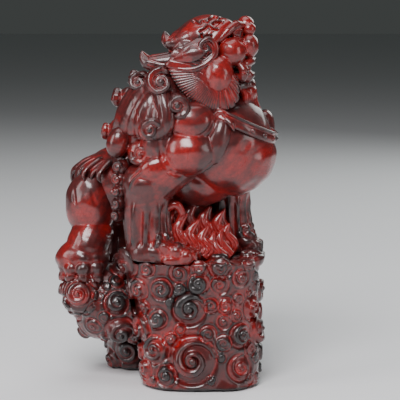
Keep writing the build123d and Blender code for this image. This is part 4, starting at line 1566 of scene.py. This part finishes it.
class FOODOG_OT_tail(Operator):
    """Carve the leaf tail over the rump"""
    bl_idname = "foodog.tail"
    bl_label = "Tail"
    bl_options = {"REGISTER", "UNDO"}

    def execute(self, context):
        carve_tail()
        return {"FINISHED"}


class FOODOG_OT_mane(Operator):
    """Carve the strands of the mane and its snail curls"""
    bl_idname = "foodog.mane"
    bl_label = "Mane"
    bl_options = {"REGISTER", "UNDO"}

    def execute(self, context):
        carve_mane()
        carve_right_curls()
        carve_left_curls()
        carve_back_curls()
        return {"FINISHED"}


class FOODOG_OT_head(Operator):
    """Carve skull, cheeks, eyes, lips, jaw and nose"""
    bl_idname = "foodog.head"
    bl_label = "Head"
    bl_options = {"REGISTER", "UNDO"}

    def execute(self, context):
        carve_head()
        carve_jaw()
        carve_nose()
        return {"FINISHED"}


class FOODOG_OT_crest(Operator):
    """Carve the crest with its locks, and both ears"""
    bl_idname = "foodog.crest"
    bl_label = "Crest and ears"
    bl_options = {"REGISTER", "UNDO"}

    def execute(self, context):
        carve_crest()
        carve_ear(1, "near_ear", "right_ear")
        carve_ear(-1, "far_ear", "left_ear")
        return {"FINISHED"}


class FOODOG_OT_ruff(Operator):
    """Carve the jaw fringe and the chin beard"""
    bl_idname = "foodog.ruff"
    bl_label = "Ruff and beard"
    bl_options = {"REGISTER", "UNDO"}

    def execute(self, context):
        carve_ruff()
        carve_beard()
        return {"FINISHED"}


class FOODOG_OT_collar(Operator):
    """Carve the collar, its knots and its studs"""
    bl_idname = "foodog.collar"
    bl_label = "Collar"
    bl_options = {"REGISTER", "UNDO"}

    def execute(self, context):
        carve_collar()
        carve_studs()
        return {"FINISHED"}


class FOODOG_OT_flames(Operator):
    """Carve the flames between the forelegs"""
    bl_idname = "foodog.flames"
    bl_label = "Flames"
    bl_options = {"REGISTER", "UNDO"}

    def execute(self, context):
        carve_flames()
        return {"FINISHED"}


class FOODOG_OT_hidden_parts(Operator):
    """Give the felts and the dowels their finish"""
    bl_idname = "foodog.hidden_parts"
    bl_label = "Felts and dowels"
    bl_options = {"REGISTER", "UNDO"}

    def execute(self, context):
        dress_hidden_parts()
        return {"FINISHED"}


class FOODOG_OT_stage(Operator):
    """Set the floor, the lights and the camera"""
    bl_idname = "foodog.stage"
    bl_label = "Stage"
    bl_options = {"REGISTER", "UNDO"}

    def execute(self, context):
        set_stage()
        return {"FINISHED"}


OPERATORS = (
    FOODOG_OT_rocks, FOODOG_OT_paw_ball, FOODOG_OT_torso, FOODOG_OT_forelegs, FOODOG_OT_elbow_curls,
    FOODOG_OT_hind_legs, FOODOG_OT_tail, FOODOG_OT_mane, FOODOG_OT_head, FOODOG_OT_crest, FOODOG_OT_ruff,
    FOODOG_OT_collar, FOODOG_OT_flames, FOODOG_OT_hidden_parts, FOODOG_OT_stage,
)


class FOODOG_PT_sidebar(Panel):
    """Sizes, colours and one button for each group of pieces"""
    bl_label = "Foo dog"
    bl_idname = "FOODOG_PT_sidebar"
    bl_space_type = "VIEW_3D"
    bl_region_type = "UI"
    bl_category = "Foo Dog"

    def draw(self, context):
        scene = context.scene
        for group in (scene.foo_dog_sizes, scene.foo_dog_finish, scene.foo_dog_view):
            box = self.layout.box()
            for name in group.__annotations__:
                box.prop(group, name)
        for operator in OPERATORS:
            self.layout.operator(operator.bl_idname)


CLASSES = (FooDogSizes, FooDogFinish, FooDogView, *OPERATORS, FOODOG_PT_sidebar)


def register():
    for item in CLASSES:
        bpy.utils.register_class(item)
    bpy.types.Scene.foo_dog_sizes = PointerProperty(type=FooDogSizes)
    bpy.types.Scene.foo_dog_finish = PointerProperty(type=FooDogFinish)
    bpy.types.Scene.foo_dog_view = PointerProperty(type=FooDogView)


def unregister():
    del bpy.types.Scene.foo_dog_view
    del bpy.types.Scene.foo_dog_finish
    del bpy.types.Scene.foo_dog_sizes
    for item in reversed(CLASSES):
        bpy.utils.unregister_class(item)


def main():
    """Carve every piece in order, then give the felts and dowels their finish and set the stage."""
    register()
    bpy.ops.foodog.rocks()
    bpy.ops.foodog.paw_ball()
    bpy.ops.foodog.torso()
    bpy.ops.foodog.forelegs()
    bpy.ops.foodog.elbow_curls()
    bpy.ops.foodog.hind_legs()
    bpy.ops.foodog.tail()
    bpy.ops.foodog.mane()
    bpy.ops.foodog.head()
    bpy.ops.foodog.crest()
    bpy.ops.foodog.ruff()
    bpy.ops.foodog.collar()
    bpy.ops.foodog.flames()
    bpy.ops.foodog.hidden_parts()
    bpy.ops.foodog.stage()


if __name__ == "__main__":
    main()
